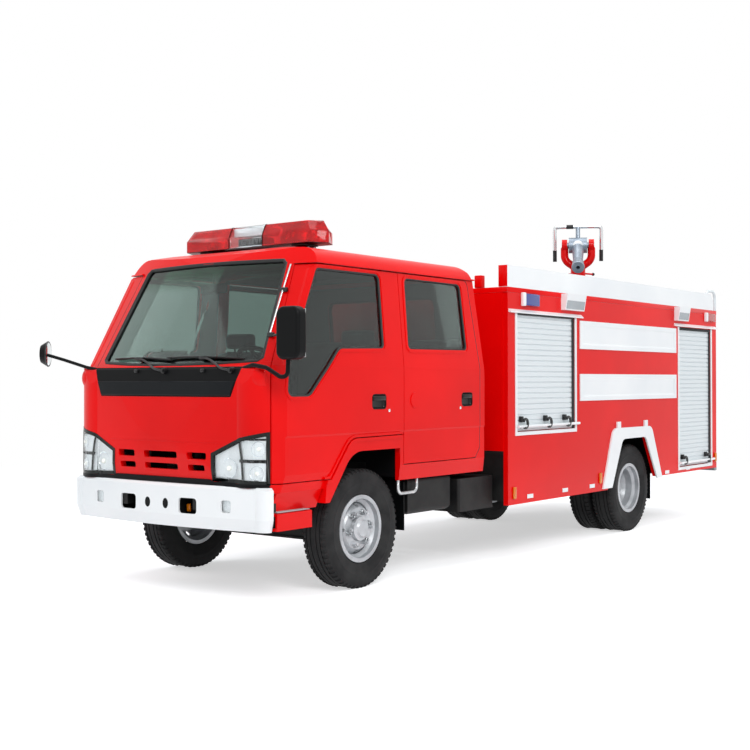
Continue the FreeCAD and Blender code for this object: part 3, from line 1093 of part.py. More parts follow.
# ---------------------------------------------------------------- monitor
def monitor():
    """A manual water cannon: a riser on the deck, a swivel with a ring head, and a barrel with its handle bar."""
    base_plate = Part.makeCylinder(125, 16, V(0, MONITOR_Y, BODY_TOP + 0.3))
    riser = Part.makeCylinder(70, MONITOR_FLANGE - BODY_TOP + 5, V(0, MONITOR_Y, BODY_TOP + 10))
    flange = Part.makeCylinder(95, 18, V(0, MONITOR_Y, MONITOR_FLANGE))
    put("monitor_riser", fuse([base_plate, riser, flange]))
    seat = MONITOR_FLANGE + 18 + 0.3
    column = Part.makeCylinder(72, 150, V(0, MONITOR_Y, seat))
    collar = Part.makeCylinder(95, 22, V(0, MONITOR_Y, seat))
    parts = [column, collar]
    for sign in (1, -1):
        arm = tube([(sign * 20, MONITOR_Y, seat + 110), (sign * 132, MONITOR_Y, seat + 190),
                    (sign * 132, MONITOR_Y, MONITOR_PIVOT)], 38, 95)
        parts.append(arm)
        cheek = Part.makeCylinder(60, 52, V(sign * 132 - 26, MONITOR_Y, MONITOR_PIVOT), V(1, 0, 0))
        parts.append(cheek)
        lever = rod((sign * 40, MONITOR_Y + 40, seat + 60), (sign * 150, MONITOR_Y + 160, seat + 60), 9)
        parts.append(lever)
    swivel = fuse(parts)
    trunnion = rod((-170, MONITOR_Y, MONITOR_PIVOT), (170, MONITOR_Y, MONITOR_PIVOT), 30.05)
    swivel = swivel.cut(trunnion)
    pivot = V(0, MONITOR_Y, MONITOR_PIVOT)
    core = Part.makeCylinder(78, 180, V(-90, MONITOR_Y, MONITOR_PIVOT), V(1, 0, 0))
    pin = rod((-160, MONITOR_Y, MONITOR_PIVOT), (160, MONITOR_Y, MONITOR_PIVOT), 30)
    mouth = NOZZLE_START + NOZZLE_LENGTH
    bore = NOZZLE_BORE / 2
    barrel = turned([(20, 0), (20, 62), (NOZZLE_START, 46), (NOZZLE_START + 4, 52), (mouth - 12, 62), (mouth, 60),
                     (mouth, bore), (NOZZLE_START, bore), (NOZZLE_START, 0)], (0, 0, 0))
    barrel.rotate(V(0, 0, 0), V(0, 0, 1), -90)
    barrel.rotate(V(0, 0, 0), V(1, 0, 0), -MONITOR_DIP)
    barrel.translate(pivot)
    stem = rod((0, MONITOR_Y, MONITOR_PIVOT), (0, MONITOR_Y + 19, MONITOR_PIVOT + 182), 22)
    bar_y, bar_z = MONITOR_Y + 20, MONITOR_PIVOT + 189
    grip_y, grip_z = MONITOR_Y + 75, MONITOR_PIVOT - 140
    handle = tube([(-229, grip_y, grip_z), (-229, bar_y, bar_z), (229, bar_y, bar_z), (229, grip_y, grip_z)], 16, 40)
    moving = fuse([core, pin, barrel, stem, handle])
    for solid in (swivel, moving):
        solid.rotate(V(0, MONITOR_Y, 0), V(0, 0, 1), -MONITOR_TURN)
    put("monitor_swivel", swivel)
    put("monitor_barrel", moving)


def build():
    wheels()
    front_axle()
    steering()
    rear_axle()
    springs()
    driveline()
    chassis()
    cab()
    cab_floor()
    interior()
    entry_steps()
    mirrors()
    light_bar()
    tanks()
    fire_body()
    shutters()
    body_trim()
    rear_fittings()
    monitor()


build()
os.makedirs("parts", exist_ok=True)
for name, shape in NODES.items():
    placed = shape.copy()
    placed.translate(V(0, -ORIGIN_Y, 0))
    placed.exportStep(f"parts/{name}.step")
whole = Part.makeCompound(list(NODES.values())).BoundBox
print(len(NODES), "nodes", whole)
for name, shape in NODES.items():
    sizes = [round(s.Volume / 1e6, 2) for s in shape.Solids]
    if not shape.isValid() or not shape.Solids or min(sizes) < 0.05:
        print("check", name, shape.isValid(), sizes)
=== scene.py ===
"""Looks of a mini pumper fire truck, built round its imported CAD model. Metres, +X to its left, +Y to its rear."""
import math

import bpy
from mathutils import Matrix, Vector


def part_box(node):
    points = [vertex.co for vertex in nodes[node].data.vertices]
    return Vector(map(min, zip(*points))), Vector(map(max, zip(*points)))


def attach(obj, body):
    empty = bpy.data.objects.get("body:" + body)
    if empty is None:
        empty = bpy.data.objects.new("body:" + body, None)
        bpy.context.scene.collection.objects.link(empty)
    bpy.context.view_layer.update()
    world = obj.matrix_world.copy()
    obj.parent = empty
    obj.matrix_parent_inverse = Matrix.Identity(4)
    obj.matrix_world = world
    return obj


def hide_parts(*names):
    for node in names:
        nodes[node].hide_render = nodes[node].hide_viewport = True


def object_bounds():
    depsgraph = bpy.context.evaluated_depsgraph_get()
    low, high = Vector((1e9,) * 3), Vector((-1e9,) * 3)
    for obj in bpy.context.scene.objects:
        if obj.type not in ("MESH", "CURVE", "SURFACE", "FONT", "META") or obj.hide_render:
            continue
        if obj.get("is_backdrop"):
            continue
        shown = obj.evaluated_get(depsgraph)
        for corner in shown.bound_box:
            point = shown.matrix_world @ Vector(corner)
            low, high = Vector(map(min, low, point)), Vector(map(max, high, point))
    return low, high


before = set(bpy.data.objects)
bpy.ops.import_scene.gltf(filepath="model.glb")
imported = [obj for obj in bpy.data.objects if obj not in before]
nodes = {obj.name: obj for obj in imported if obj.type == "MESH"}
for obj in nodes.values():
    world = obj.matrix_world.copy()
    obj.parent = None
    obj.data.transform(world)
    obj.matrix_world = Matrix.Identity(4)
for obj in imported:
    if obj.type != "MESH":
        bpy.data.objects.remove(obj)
cad_low, cad_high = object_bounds()

# ---------- camera and studio
# A pale studio: a wide floor, a white surround that the camera, gloss and glass see, and four soft lamps.
# The camera stands off the truck's front left corner at chest height, where its horizon crosses the doors.
front_low, front_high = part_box("front_tyre_left")
axle_y = (front_low[1] + front_high[1]) / 2
eye = Vector((5.725, axle_y - 6.232, 1.353))
heading, pitch, roll = math.radians(37.27), math.radians(0.59), math.radians(-0.07)
camera_data = bpy.data.cameras.new("camera")
camera_data.sensor_width = 36.0
camera_data.lens = 58.1
camera_data.shift_x, camera_data.shift_y = -0.0048, -0.0091
camera = bpy.data.objects.new("camera", camera_data)
bpy.context.scene.collection.objects.link(camera)
turn = Matrix.Rotation(heading, 4, "Z") @ Matrix.Rotation(math.pi / 2 + pitch, 4, "X")
camera.matrix_world = Matrix.Translation(eye) @ turn @ Matrix.Rotation(roll, 4, "Z")
bpy.context.scene.camera = camera
bpy.context.scene.view_settings.view_transform = "Standard"


def linear(hex_colour):
    """A colour written as sRGB hex, turned to the linear values that the shader takes."""
    parts = [int(hex_colour[i:i + 2], 16) / 255 for i in (0, 2, 4)]
    return [c / 12.92 if c <= 0.04045 else ((c + 0.055) / 1.055) ** 2.4 for c in parts] + [1.0]


def add(tree, kind, *links, **settings):
    """Adds one shader node. Settings go to its fields or sockets; each link is (socket, from node, from socket)."""
    made = tree.nodes.new(kind)
    for name, value in settings.items():
        if hasattr(made, name):
            setattr(made, name, value)
        else:
            made.inputs[name.replace("_", " ")].default_value = value
    for socket, source, output in links:
        tree.links.new(source.outputs[output], made.inputs[socket])
    return made


def seen_ray(tree):
    """1 for a ray from the camera, through glass or off gloss. These see the background, and the rest its light."""
    ray = add(tree, "ShaderNodeLightPath")
    direct = add(tree, "ShaderNodeMath", (0, ray, "Is Camera Ray"), (1, ray, "Is Transmission Ray"),
                 operation="MAXIMUM")
    return add(tree, "ShaderNodeMath", (0, direct, 0), (1, ray, "Is Glossy Ray"), operation="MAXIMUM")


world = bpy.data.worlds.new("surround")
bpy.context.scene.world = world
world.use_nodes = True
sky = world.node_tree
sky.nodes.clear()
lit = add(sky, "ShaderNodeBackground", Color=linear("dfe6ee"), Strength=0.5)
shown = add(sky, "ShaderNodeBackground", Color=linear("ffffff"), Strength=1.0)
mix = add(sky, "ShaderNodeMixShader", (0, seen_ray(sky), 0), (1, lit, 0), (2, shown, 0))
add(sky, "ShaderNodeOutputWorld", ("Surface", mix, 0))

floor_material = bpy.data.materials.new("pale_floor")
floor_material.use_nodes = True
tree = floor_material.node_tree
tree.nodes.clear()
matt = add(tree, "ShaderNodeBsdfDiffuse", Color=linear("e9e9ea"))
glow = add(tree, "ShaderNodeEmission", Color=linear("ffffff"), Strength=0.55)
both = add(tree, "ShaderNodeAddShader", (0, matt, 0), (1, glow, 0))
far_off = add(tree, "ShaderNodeEmission", Color=linear("ffffff"), Strength=1.0)
place = add(tree, "ShaderNodeTexCoord")
reach = add(tree, "ShaderNodeVectorMath", (0, place, "Object"), operation="LENGTH")
fade = add(tree, "ShaderNodeMapRange", (0, reach, "Value"), From_Min=5.0, From_Max=11.0)
shown = add(tree, "ShaderNodeMixShader", (0, fade, 0), (1, both, 0), (2, far_off, 0))
mix = add(tree, "ShaderNodeMixShader", (0, seen_ray(tree), 0), (1, matt, 0), (2, shown, 0))
add(tree, "ShaderNodeOutputMaterial", ("Surface", mix, 0))
bpy.ops.mesh.primitive_plane_add(size=160, location=(0, 0, 0))
floor = bpy.context.object
floor.name = "studio_floor"
floor.data.materials.append(floor_material)
floor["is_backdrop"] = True

for name, place, size, power in (("key", (9.0, -8.5, 8.0), 6.0, 960.0), ("fill", (-8.0, -7.0, 6.0), 6.0, 400.0),
                                 ("top", (0.0, 1.0, 11.0), 9.0, 560.0), ("rear", (5.0, 10.0, 6.0), 6.0, 400.0)):
    lamp_data = bpy.data.lights.new(name, "AREA")
    lamp_data.shape = "SQUARE"
    lamp_data.size = size
    lamp_data.energy = power
    lamp = bpy.data.objects.new(name, lamp_data)
    lamp.location = place
    lamp.rotation_euler = (Vector((0, 0, 1.0)) - Vector(place)).to_track_quat("-Z", "Y").to_euler()
    lamp.visible_glossy = name not in ("fill", "rear")
    bpy.context.scene.collection.objects.link(lamp)


def finish(name, colour, roughness, metallic=0.0, **sockets):
    """A material and its one shader, to which a section adds its own pattern."""
    made = bpy.data.materials.new(name)
    made.use_nodes = True
    made.node_tree.nodes.clear()
    shader = add(made.node_tree, "ShaderNodeBsdfPrincipled", Base_Color=linear(colour), Roughness=roughness,
                 Metallic=metallic, **sockets)
    add(made.node_tree, "ShaderNodeOutputMaterial", ("Surface", shader, 0))
    return made, shader


def tint(shader, dark, light, scale, detail=3.0):
    """Cloudy change between two colours over the piece; scale is in repeats to the metre."""
    tree = shader.id_data
    place = add(tree, "ShaderNodeTexCoord")
    cloud = add(tree, "ShaderNodeTexNoise", ("Vector", place, "Object"), Scale=scale, Detail=detail)
    ramp = add(tree, "ShaderNodeValToRGB", (0, cloud, 0))
    for stop, position, colour in zip(ramp.color_ramp.elements, (0.35, 0.65), (dark, light)):
        stop.position, stop.color = position, linear(colour)
    tree.links.new(ramp.outputs[0], shader.inputs["Base Color"])
    return ramp


def grain(shader, scale, depth, strength, stretch=(1, 1, 1)):
    """Fine relief of the surface; depth is in metres and scale in repeats to the metre."""
    tree = shader.id_data
    place = add(tree, "ShaderNodeTexCoord")
    drawn = add(tree, "ShaderNodeMapping", ("Vector", place, "Object"), Scale=stretch)
    cloud = add(tree, "ShaderNodeTexNoise", ("Vector", drawn, 0), Scale=scale)
    relief = add(tree, "ShaderNodeBump", ("Height", cloud, 0), Strength=strength, Distance=depth)
    tree.links.new(relief.outputs[0], shader.inputs["Normal"])


def dress(name, material):
    """Gives a CAD node its finish."""
    piece = nodes[name]
    piece.data.materials.clear()
    piece.data.materials.append(material)


# ---------- painted cab and body panels
# Pressed steel cab and folded steel body, both sprayed in fire-engine red two-pack enamel with a clear coat. The
# coat gives sharp reflections over a faint orange-peel ripple, and its red varies a little in soft clouds.
# The cab's inner faces are lined with grey vinyl, which each panel shows where it faces the cab's middle.
RED_DARK, RED_LIGHT, GREY_VINYL = "da0202", "e80304", "565a5e"
CAB_MIDDLE = 0.0, axle_y + 0.25, 1.4


def enamel(name, lined=None, dark=RED_DARK, light=RED_LIGHT):
    """Sprayed enamel. Where lined gives an axis, faces that look along it to the cab's middle are grey vinyl."""
    made, shader = finish(name, light, 0.32, Specular_IOR_Level=0.1, Coat_Weight=0.15, Coat_Roughness=0.03)
    ramp = tint(shader, dark, light, 1.3)
    grain(shader, 260, 0.0004, 0.1)
    if lined:
        tree = shader.id_data
        place = add(tree, "ShaderNodeTexCoord")
        from_middle = add(tree, "ShaderNodeVectorMath", (0, place, "Object"), operation="SUBTRACT")
        from_middle.inputs[1].default_value = CAB_MIDDLE
        along = add(tree, "ShaderNodeVectorMath", (0, from_middle, 0), operation="MULTIPLY")
        along.inputs[1].default_value = lined
        facing = add(tree, "ShaderNodeVectorMath", (0, along, 0), (1, place, "Normal"), operation="DOT_PRODUCT")
        inward = add(tree, "ShaderNodeMath", (0, facing, "Value"), operation="LESS_THAN")
        inward.inputs[1].default_value = -0.3
        covered = add(tree, "ShaderNodeMix", (0, inward, 0), ("A", ramp, 0), data_type="RGBA")
        covered.inputs["B"].default_value = linear(GREY_VINYL)
        tree.links.new(covered.outputs["Result"], shader.inputs["Base Color"])
    return made


red_enamel = enamel("red_enamel")
for name in ("front_centre_panel", "front_grille", "body_sides", "monitor_swivel", "monitor_riser",
             "body_end_walls"):
    dress(name, red_enamel)
side_enamel = enamel("red_enamel_lined_sides", (1, 0, 0))
for name in ("front_door_left", "front_door_right", "rear_door_left", "rear_door_right", "cab_pillars"):
    dress(name, side_enamel)
dress("cab_roof", enamel("red_enamel_lined_roof", (0, 0, 1)))
end_enamel = enamel("red_enamel_lined_ends", (0, 1, 0))
for name in ("cab_back_wall", "cab_front_panel"):
    dress(name, end_enamel)

# ---------- white panels
# Bumper, roof boards, arch trims and panels are folded steel, sprayed in white enamel and bolted on. The enamel is
# clean and glossy, a little cooler than ivory.
white_enamel, shader = finish("white_enamel", "eceeee", 0.28, Coat_Weight=0.6, Coat_Roughness=0.06)
tint(shader, "e4e8ea", "eff1f1", 1.1)
grain(shader, 240, 0.0003, 0.1)
for name in ("front_bumper", "body_trims", "roof_boards"):
    dress(name, white_enamel)

# ---------- chassis
# Frame, axles, springs and boxes are steel, brushed with thin black chassis paint, which dries to a patchy satin.
# The engine shows rough dull castings, and the exhaust a bright zinc with a cloudy bloom.
chassis_paint, shader = finish("black_chassis_paint", "161616", 0.5, Specular_IOR_Level=0.2)
tint(shader, "101011", "20201f", 6.0, 5.0)
grain(shader, 140, 0.0006, 0.3)
for name in ("front_axle_beam", "steering_knuckle_left", "steering_knuckle_right", "track_rod", "rear_axle",
             "leaf_springs", "gearbox_and_shaft", "chassis_frame", "tanks_and_lockers"):
    dress(name, chassis_paint)
# Sand-cast iron: dull mid grey with a coarse skin.
cast_iron, shader = finish("cast_iron", "4a4a48", 0.65, 0.4)
grain(shader, 220, 0.0012, 0.5)
dress("engine_block", cast_iron)
# Dipped zinc: bright grey metal, clouded by its spangle.
zinc_steel, shader = finish("galvanised_steel", "8d8f90", 0.45, 0.9)
tint(shader, "7d7f81", "9c9fa1", 18.0, 4.0)
dress("exhaust", zinc_steel)

# ---------- black plastic and rubber
# Cowl, dashboard and mirror shells are moulded ABS, near black and half matt, with a fine leather grain. The mud
# flaps are rubber sheet of the same look.
# Moulded ABS: near black, half matt, leather grained.
black_abs, shader = finish("black_abs", "0b0c0d", 0.4, Specular_IOR_Level=0.1)
grain(shader, 420, 0.0004, 0.3)
for name in ("cowl_panel", "dashboard", "steering_wheel", "mudflaps", "mirrors"):
    dress(name, black_abs)

# ---------- glass
# Toughened float glass, faintly green, clear enough to see the seats and the far windows through it. The windscreen
# has a darker green band along its top.
GLASS_GREEN, BAND_GREEN = "8fa39d", "2f6a4c"
# Float glass: clear, sharp in its reflections, green in its depth.
glass, shader = finish("green_float_glass", GLASS_GREEN, 0.02, Transmission_Weight=1.0, IOR=1.45)
tree = shader.id_data
place = add(tree, "ShaderNodeTexCoord")
height = add(tree, "ShaderNodeSeparateXYZ", ("Vector", place, "Object"))
band = add(tree, "ShaderNodeMapRange", (0, height, "Z"), From_Min=1.94, From_Max=2.06)
ahead = add(tree, "ShaderNodeMath", (0, height, "Y"), operation="LESS_THAN")
ahead.inputs[1].default_value = axle_y - 0.45
shaded = add(tree, "ShaderNodeMath", (0, band, 0), (1, ahead, 0), operation="MULTIPLY")
pane = add(tree, "ShaderNodeMix", (0, shaded, 0), data_type="RGBA")
pane.inputs["A"].default_value, pane.inputs["B"].default_value = linear(GLASS_GREEN), linear(BAND_GREEN)
tree.links.new(pane.outputs["Result"], shader.inputs["Base Color"])
for name in ("cab_glass", "front_door_glass_left", "front_door_glass_right", "rear_door_glass_left",
             "rear_door_glass_right"):
    dress(name, glass)

# ---------- wheels
# Pressed steel rims and discs, welded together, dipped and sprayed in silver wheel paint. It has a soft metal sheen
# that clouds a little from place to place.
wheel_silver, shader = finish("silver_wheel_paint", "b4b7ba", 0.38, 0.35)
tint(shader, "a4a7aa", "c2c5c8", 8.0)
for name in ("front_wheel_left", "front_wheel_right", "rear_wheels_left", "rear_wheels_right"):
    dress(name, wheel_silver)

# ---------- cab floor, shutters, ladder and tank
# The cab's floor is black with underseal outside and grey vinyl inside. Shutter slats and the ladder are anodised
# aluminium, ledges and trays bare plate, and the tank is welded from polypropylene sheet.
dress("cab_floor", enamel("black_floor_lined_above", (0.5, 0.5, 1), "0b0b0c", "151516"))
dress("body_floor", chassis_paint)
# Bare aluminium plate: pale metal, brushed soft.
plate = finish("aluminium_plate", "b9bcbf", 0.4, 0.85)[0]
# Anodised slats: pale silver, almost like paint, without a mirror.
slat = finish("anodised_slats", "dbe1e3", 0.42, 0.12)[0]
for name in ("roller_shutters", "rear_ladder"):
    dress(name, slat)
# Polypropylene: waxy pale grey.
poly = finish("tank_polypropylene", "c8cac6", 0.6)[0]
dress("water_tank", poly)

# ---------- tyres
# Radial truck tyres of carbon-black rubber, moulded with five ribs round the tread, open lugs along both
# shoulders and two fine rings on each sidewall. They sit on the rims' beads.
tyre_rubber, shader = finish("tyre_rubber", "202021", 0.75, Specular_IOR_Level=0.25)
tint(shader, "1a1a1b", "2a2a2a", 9.0, 4.0)


def select_only(piece):
    """Selects one object alone and makes it the active one."""
    bpy.ops.object.select_all(action="DESELECT")
    piece.select_set(True)
    bpy.context.view_layer.objects.active = piece


def apply_modifier(piece, kind, **settings):
    """Adds a modifier with its settings and applies it at once."""
    select_only(piece)
    modifier = piece.modifiers.new(kind.lower(), kind)
    for name, value in settings.items():
        setattr(modifier, name, value)
    bpy.ops.object.modifier_apply(modifier=modifier.name)
    return piece


def soften(piece, width, segments=2):
    """Rounds a piece's sharp edges."""
    return apply_modifier(piece, "BEVEL", width=width, segments=segments, limit_method="ANGLE",
                          angle_limit=math.radians(30), harden_normals=False)


def fix_place(piece):
    """Moves a piece's place, turn and scale into its mesh."""
    select_only(piece)
    bpy.ops.object.transform_apply(location=True, rotation=True, scale=True)
    return piece


def settle(piece, body, material, angle=30):
    """Leaves a finished piece with its origin at the world's, facing outwards, on its body and in its finish."""
    fix_place(piece)
    bpy.ops.object.mode_set(mode="EDIT")
    bpy.ops.mesh.select_all(action="SELECT")
    bpy.ops.mesh.remove_doubles(threshold=0.00001)
    bpy.ops.mesh.normals_make_consistent(inside=False)
    bpy.ops.object.mode_set(mode="OBJECT")
    bpy.ops.object.shade_smooth_by_angle(angle=math.radians(angle))
    piece.data.materials.clear()
    piece.data.materials.append(material)
    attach(piece, body)
    return piece


def joined(name, parts):
    """Joins several objects into one mesh."""
    select_only(parts[0])
    for part in parts:
        part.select_set(True)
    bpy.ops.object.join()
    parts[0].name = name
    return parts[0]


def copied(piece, name):
    """A copy with its own mesh."""
    twin = piece.copy()
    twin.data = piece.data.copy()
    twin.name = name
    bpy.context.scene.collection.objects.link(twin)
    return twin


TYRE_STEPS, TREAD_RADIUS = 120, 0.374
LUG_FROM, LUG_TO, LUG_HEIGHT = 0.062, 0.088, 0.007
half_section = [(0.0, 0.387), (0.018, 0.387), (0.020, 0.378), (0.026, 0.378), (0.028, 0.3868), (0.050, 0.386),
                (0.052, 0.377), (0.058, 0.377), (0.060, 0.3855), (0.079, 0.382), (0.091, 0.369), (0.0965, 0.349),
                (0.0975, 0.346), (0.0985, 0.343), (0.0992, 0.320), (0.0995, 0.303), (0.1003, 0.300), (0.0990, 0.297),
                (0.0960, 0.265), (0.0880, 0.240), (0.0830, 0.226), (0.070, 0.226), (0.074, 0.250), (0.082, 0.290),
                (0.082, 0.330), (0.072, 0.358), (0.0, 0.369)]
section = half_section + [(-x, r) for x, r in reversed(half_section[1:-1])]


def tyre(name, x, y):
    """Spins the section round the axle, then raises every second stretch of both shoulders as a lug."""
    bpy.ops.mesh.primitive_circle_add(vertices=len(section))
    piece = bpy.context.object
    piece.name = name
    radius = front_high[2] / 2
    for vertex, (across, out) in zip(piece.data.vertices, section):
        vertex.co = (x + across, y, radius + out)
    bpy.ops.object.mode_set(mode="EDIT")
    bpy.ops.mesh.select_all(action="SELECT")
    bpy.ops.mesh.spin(steps=TYRE_STEPS, angle=2 * math.pi, center=(x, y, radius), axis=(1, 0, 0))
    bpy.ops.mesh.select_all(action="SELECT")
    bpy.ops.mesh.remove_doubles(threshold=0.0001)
    bpy.ops.mesh.select_mode(type="FACE")
    bpy.ops.mesh.select_all(action="DESELECT")
    bpy.ops.object.mode_set(mode="OBJECT")
    for polygon in piece.data.polygons:
        spot = polygon.center
        across = abs(spot.x - x)
        turn_at = math.atan2(spot.z - radius, spot.y - y) / (2 * math.pi) * TYRE_STEPS
        out = math.hypot(spot.z - radius, spot.y - y)
        polygon.select = out > TREAD_RADIUS and LUG_FROM < across < LUG_TO and int(math.floor(turn_at)) % 2 == 0
    bpy.ops.object.mode_set(mode="EDIT")
    bpy.ops.mesh.inset(thickness=0.0012, depth=-LUG_HEIGHT)
    bpy.ops.object.mode_set(mode="OBJECT")
    return piece


for node, body in (("front_tyre_left", "wheel_front_left"), ("front_tyre_right", "wheel_front_right"),
                   ("rear_tyres_left", "wheels_rear_left"), ("rear_tyres_right", "wheels_rear_right")):
    low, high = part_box(node)
    centres = [(low[0] + high[0]) / 2] if high[0] - low[0] < 0.3 else [low[0] + 0.1, high[0] - 0.1]
    made = [tyre(node + "_tread", x, (low[1] + high[1]) / 2) for x in centres]
    piece = settle(joined(node + "_tread", made), body, tyre_rubber, 35)
    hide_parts(node)

# ---------- wheel nuts
# Six hexagon nuts of zinc-plated steel hold each disc on its studs, on a 222 mm circle. Each nut stands on a washer
# and lets the end of its stud show.
NUT_RADIUS = 0.2223 / 2
# Zinc plating: small bright metal with a faint cloud.
zinc_plate, shader = finish("zinc_plated_steel", "9a9da0", 0.3, 0.9)
tint(shader, "8a8d90", "aeb1b3", 60)


def face_of(node, place, direction):
    """Where a straight line from a place first meets a CAD node's surface."""
    hit, spot = nodes[node].ray_cast(Vector(place), Vector(direction))[:2]
    return spot if hit else None


def add_cylinder(radius, depth, place, axis="X", vertices=24):
    """A cylinder round its place, along one axis."""
    turns = {"X": (0, math.pi / 2, 0), "Y": (math.pi / 2, 0, 0), "Z": (0, 0, 0)}
    bpy.ops.mesh.primitive_cylinder_add(vertices=vertices, radius=radius, depth=depth, location=place,
                                        rotation=turns[axis])
    return bpy.context.object


for node, body in (("front_wheel_left", "wheel_front_left"), ("front_wheel_right", "wheel_front_right"),
                   ("rear_wheels_left", "wheels_rear_left"), ("rear_wheels_right", "wheels_rear_right")):
    low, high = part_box(node)
    side = 1 if "left" in node else -1
    centre = Vector((0, (low[1] + high[1]) / 2, front_high[2] / 2))
    made = []
    for k in range(6):
        turn_at = math.radians(60 * k + 12)
        place = centre + Vector((side * 1.5, math.cos(turn_at) * NUT_RADIUS, math.sin(turn_at) * NUT_RADIUS))
        seat = face_of(node, place, (-side, 0, 0))
        nut = add_cylinder(0.0165, 0.02, (seat.x + side * 0.009, place.y, place.z), vertices=6)
        stud = add_cylinder(0.0085, 0.014, (seat.x + side * 0.025, place.y, place.z), vertices=12)
        collar = add_cylinder(0.021, 0.005, (seat.x + side * 0.002, place.y, place.z), vertices=20)
        made += [nut, stud, collar]
    piece = soften(joined(node + "_nuts", made), 0.0015, 1)
    settle(piece, body, zinc_plate)

# ---------- window seals
# Every pane is held in a black EPDM rubber section, a soft bead about 20 mm across that runs round the glass. The
# windscreen's is the widest.
SEAL_PROUD = 0.006
# EPDM rubber: black, soft sheen, finely pitted.
rubber_seal, shader = finish("epdm_seal", "131415", 0.55)
grain(shader, 300, 0.0003, 0.3)


def raw_copy(node, name):
    """A merged copy of a CAD node's mesh, free to be cut."""
    piece = copied(nodes[node], name)
    piece.hide_render = piece.hide_viewport = False
    piece.parent = None
    piece.matrix_world = Matrix.Identity(4)
    select_only(piece)
    bpy.ops.object.mode_set(mode="EDIT")
    bpy.ops.mesh.select_mode(type="FACE")
    bpy.ops.mesh.select_all(action="SELECT")
    bpy.ops.mesh.remove_doubles(threshold=0.00005)
    bpy.ops.mesh.select_all(action="DESELECT")
    bpy.ops.object.mode_set(mode="OBJECT")
    return piece


def rim_tube(name, node, outward, radius, spread):
    """A tube along the edge of the faces of a CAD node that look outward."""
    piece = raw_copy(node, name)
    for polygon in piece.data.polygons:
        polygon.select = polygon.normal.dot(Vector(outward)) > spread
    bpy.ops.object.mode_set(mode="EDIT")
    bpy.ops.mesh.region_to_loop()
    bpy.ops.mesh.select_all(action="INVERT")
    bpy.ops.mesh.delete(type="EDGE")
    bpy.ops.mesh.select_all(action="SELECT")
    bpy.ops.mesh.delete(type="ONLY_FACE")
    bpy.ops.mesh.select_all(action="SELECT")
    bpy.ops.transform.translate(value=Vector(outward) * SEAL_PROUD)
    bpy.ops.object.mode_set(mode="OBJECT")
    bpy.ops.object.convert(target="CURVE")
    piece.data.bevel_depth = radius
    piece.data.bevel_resolution = 2
    bpy.ops.object.convert(target="MESH")
    return piece


seals = (("windscreen_seal", "cab_glass", (0, -1, 0), 0.014, "truck", 0.6),
         ("front_window_seal_left", "front_door_glass_left", (1, 0, 0), 0.011, "door_front_left", 0.75),
         ("front_window_seal_right", "front_door_glass_right", (-1, 0, 0), 0.011, "door_front_right", 0.75),
         ("rear_window_seal_left", "rear_door_glass_left", (1, 0, 0), 0.010, "door_rear_left", 0.75),
         ("rear_window_seal_right", "rear_door_glass_right", (-1, 0, 0), 0.010, "door_rear_right", 0.75),
         ("back_window_seal", "cab_glass", (0, 1, 0), 0.012, "truck", 0.9))
for name, node, outward, radius, body, spread in seals:
    settle(rim_tube(name, node, outward, radius, spread), body, rubber_seal, 60)

# ---------- bumper lamps and the black filler above it
# Clear square fog lamps sit deep in the bumper's pockets. A strip of black plastic closes the gap between the
# bumper's ledge and the grille, and the tow openings show a black inner box with an amber tie-down ring.
# Lens polycarbonate: clear, and as smooth as glass.
clear_lens = finish("clear_polycarbonate", "f4f8fa", 0.03, Transmission_Weight=1.0, IOR=1.35)[0]
# Vacuum chrome: a mirror inside every lamp.
lamp_chrome = finish("vacuum_chrome", "e8eaec", 0.12, 1.0)[0]
# A frosted bulb: warm white, just brighter than its bowl.
bulb_glass, shader = finish("frosted_bulb", "fbfaf2", 0.2, Emission_Strength=0.25)
shader.inputs["Emission Color"].default_value = linear("fffdf2")
# Amber plastic: strong orange that lets some light through.
amber_lens = finish("amber_lens", "f08a12", 0.1, Transmission_Weight=0.35)[0]
# Bezel plastic: black with a soft gloss.
black_gloss, shader = finish("black_bezel", "141817", 0.25, Specular_IOR_Level=0.25)
grain(shader, 300, 0.0003, 0.2)


def keep_faces(piece, wanted):
    """Deletes all faces but those whose centre and normal pass a test."""
    for polygon in piece.data.polygons:
        polygon.select = not wanted(polygon.center, polygon.normal)
    select_only(piece)
    bpy.context.tool_settings.mesh_select_mode = (False, False, True)
    bpy.ops.object.mode_set(mode="EDIT")
    bpy.ops.mesh.delete(type="FACE")
    bpy.ops.object.mode_set(mode="OBJECT")
    return piece


def bent_rod(name, points, radius, order=3):
    """A round bar along a smooth line through its points."""
    bpy.ops.curve.primitive_nurbs_path_add()
    piece = bpy.context.object
    piece.name = name
    piece.data.splines.clear()
    spline = piece.data.splines.new("NURBS")
    spline.points.add(len(points) - 1)
    for point, place in zip(spline.points, points):
        point.co = (*place, 1.0)
    spline.order_u = order
    spline.use_endpoint_u = True
    piece.data.bevel_depth = radius
    piece.data.bevel_resolution = 3
    piece.data.use_fill_caps = True
    bpy.ops.object.convert(target="MESH")
    return piece


def sphere(radius, place, scale=(1, 1, 1), segments=32):
    """A ball at its place, or one pressed flat or drawn long."""
    bpy.ops.mesh.primitive_uv_sphere_add(segments=segments, ring_count=segments // 2, radius=radius, location=place)
    piece = bpy.context.object
    piece.scale = scale
    return fix_place(piece)


def block(low, high, bevel=0.0, segments=2):
    """A box between two opposite corners, with rounded edges."""
    bpy.ops.mesh.primitive_cube_add(size=1, location=[(a + b) / 2 for a, b in zip(low, high)])
    piece = bpy.context.object
    piece.scale = [abs(b - a) for a, b in zip(low, high)]
    fix_place(piece)
    return soften(piece, bevel, segments) if bevel else piece


def fit(name, parts, material, angle=30):
    """Joins parts into one piece that is fixed to the truck."""
    return settle(joined(name, parts), "truck", material, angle)


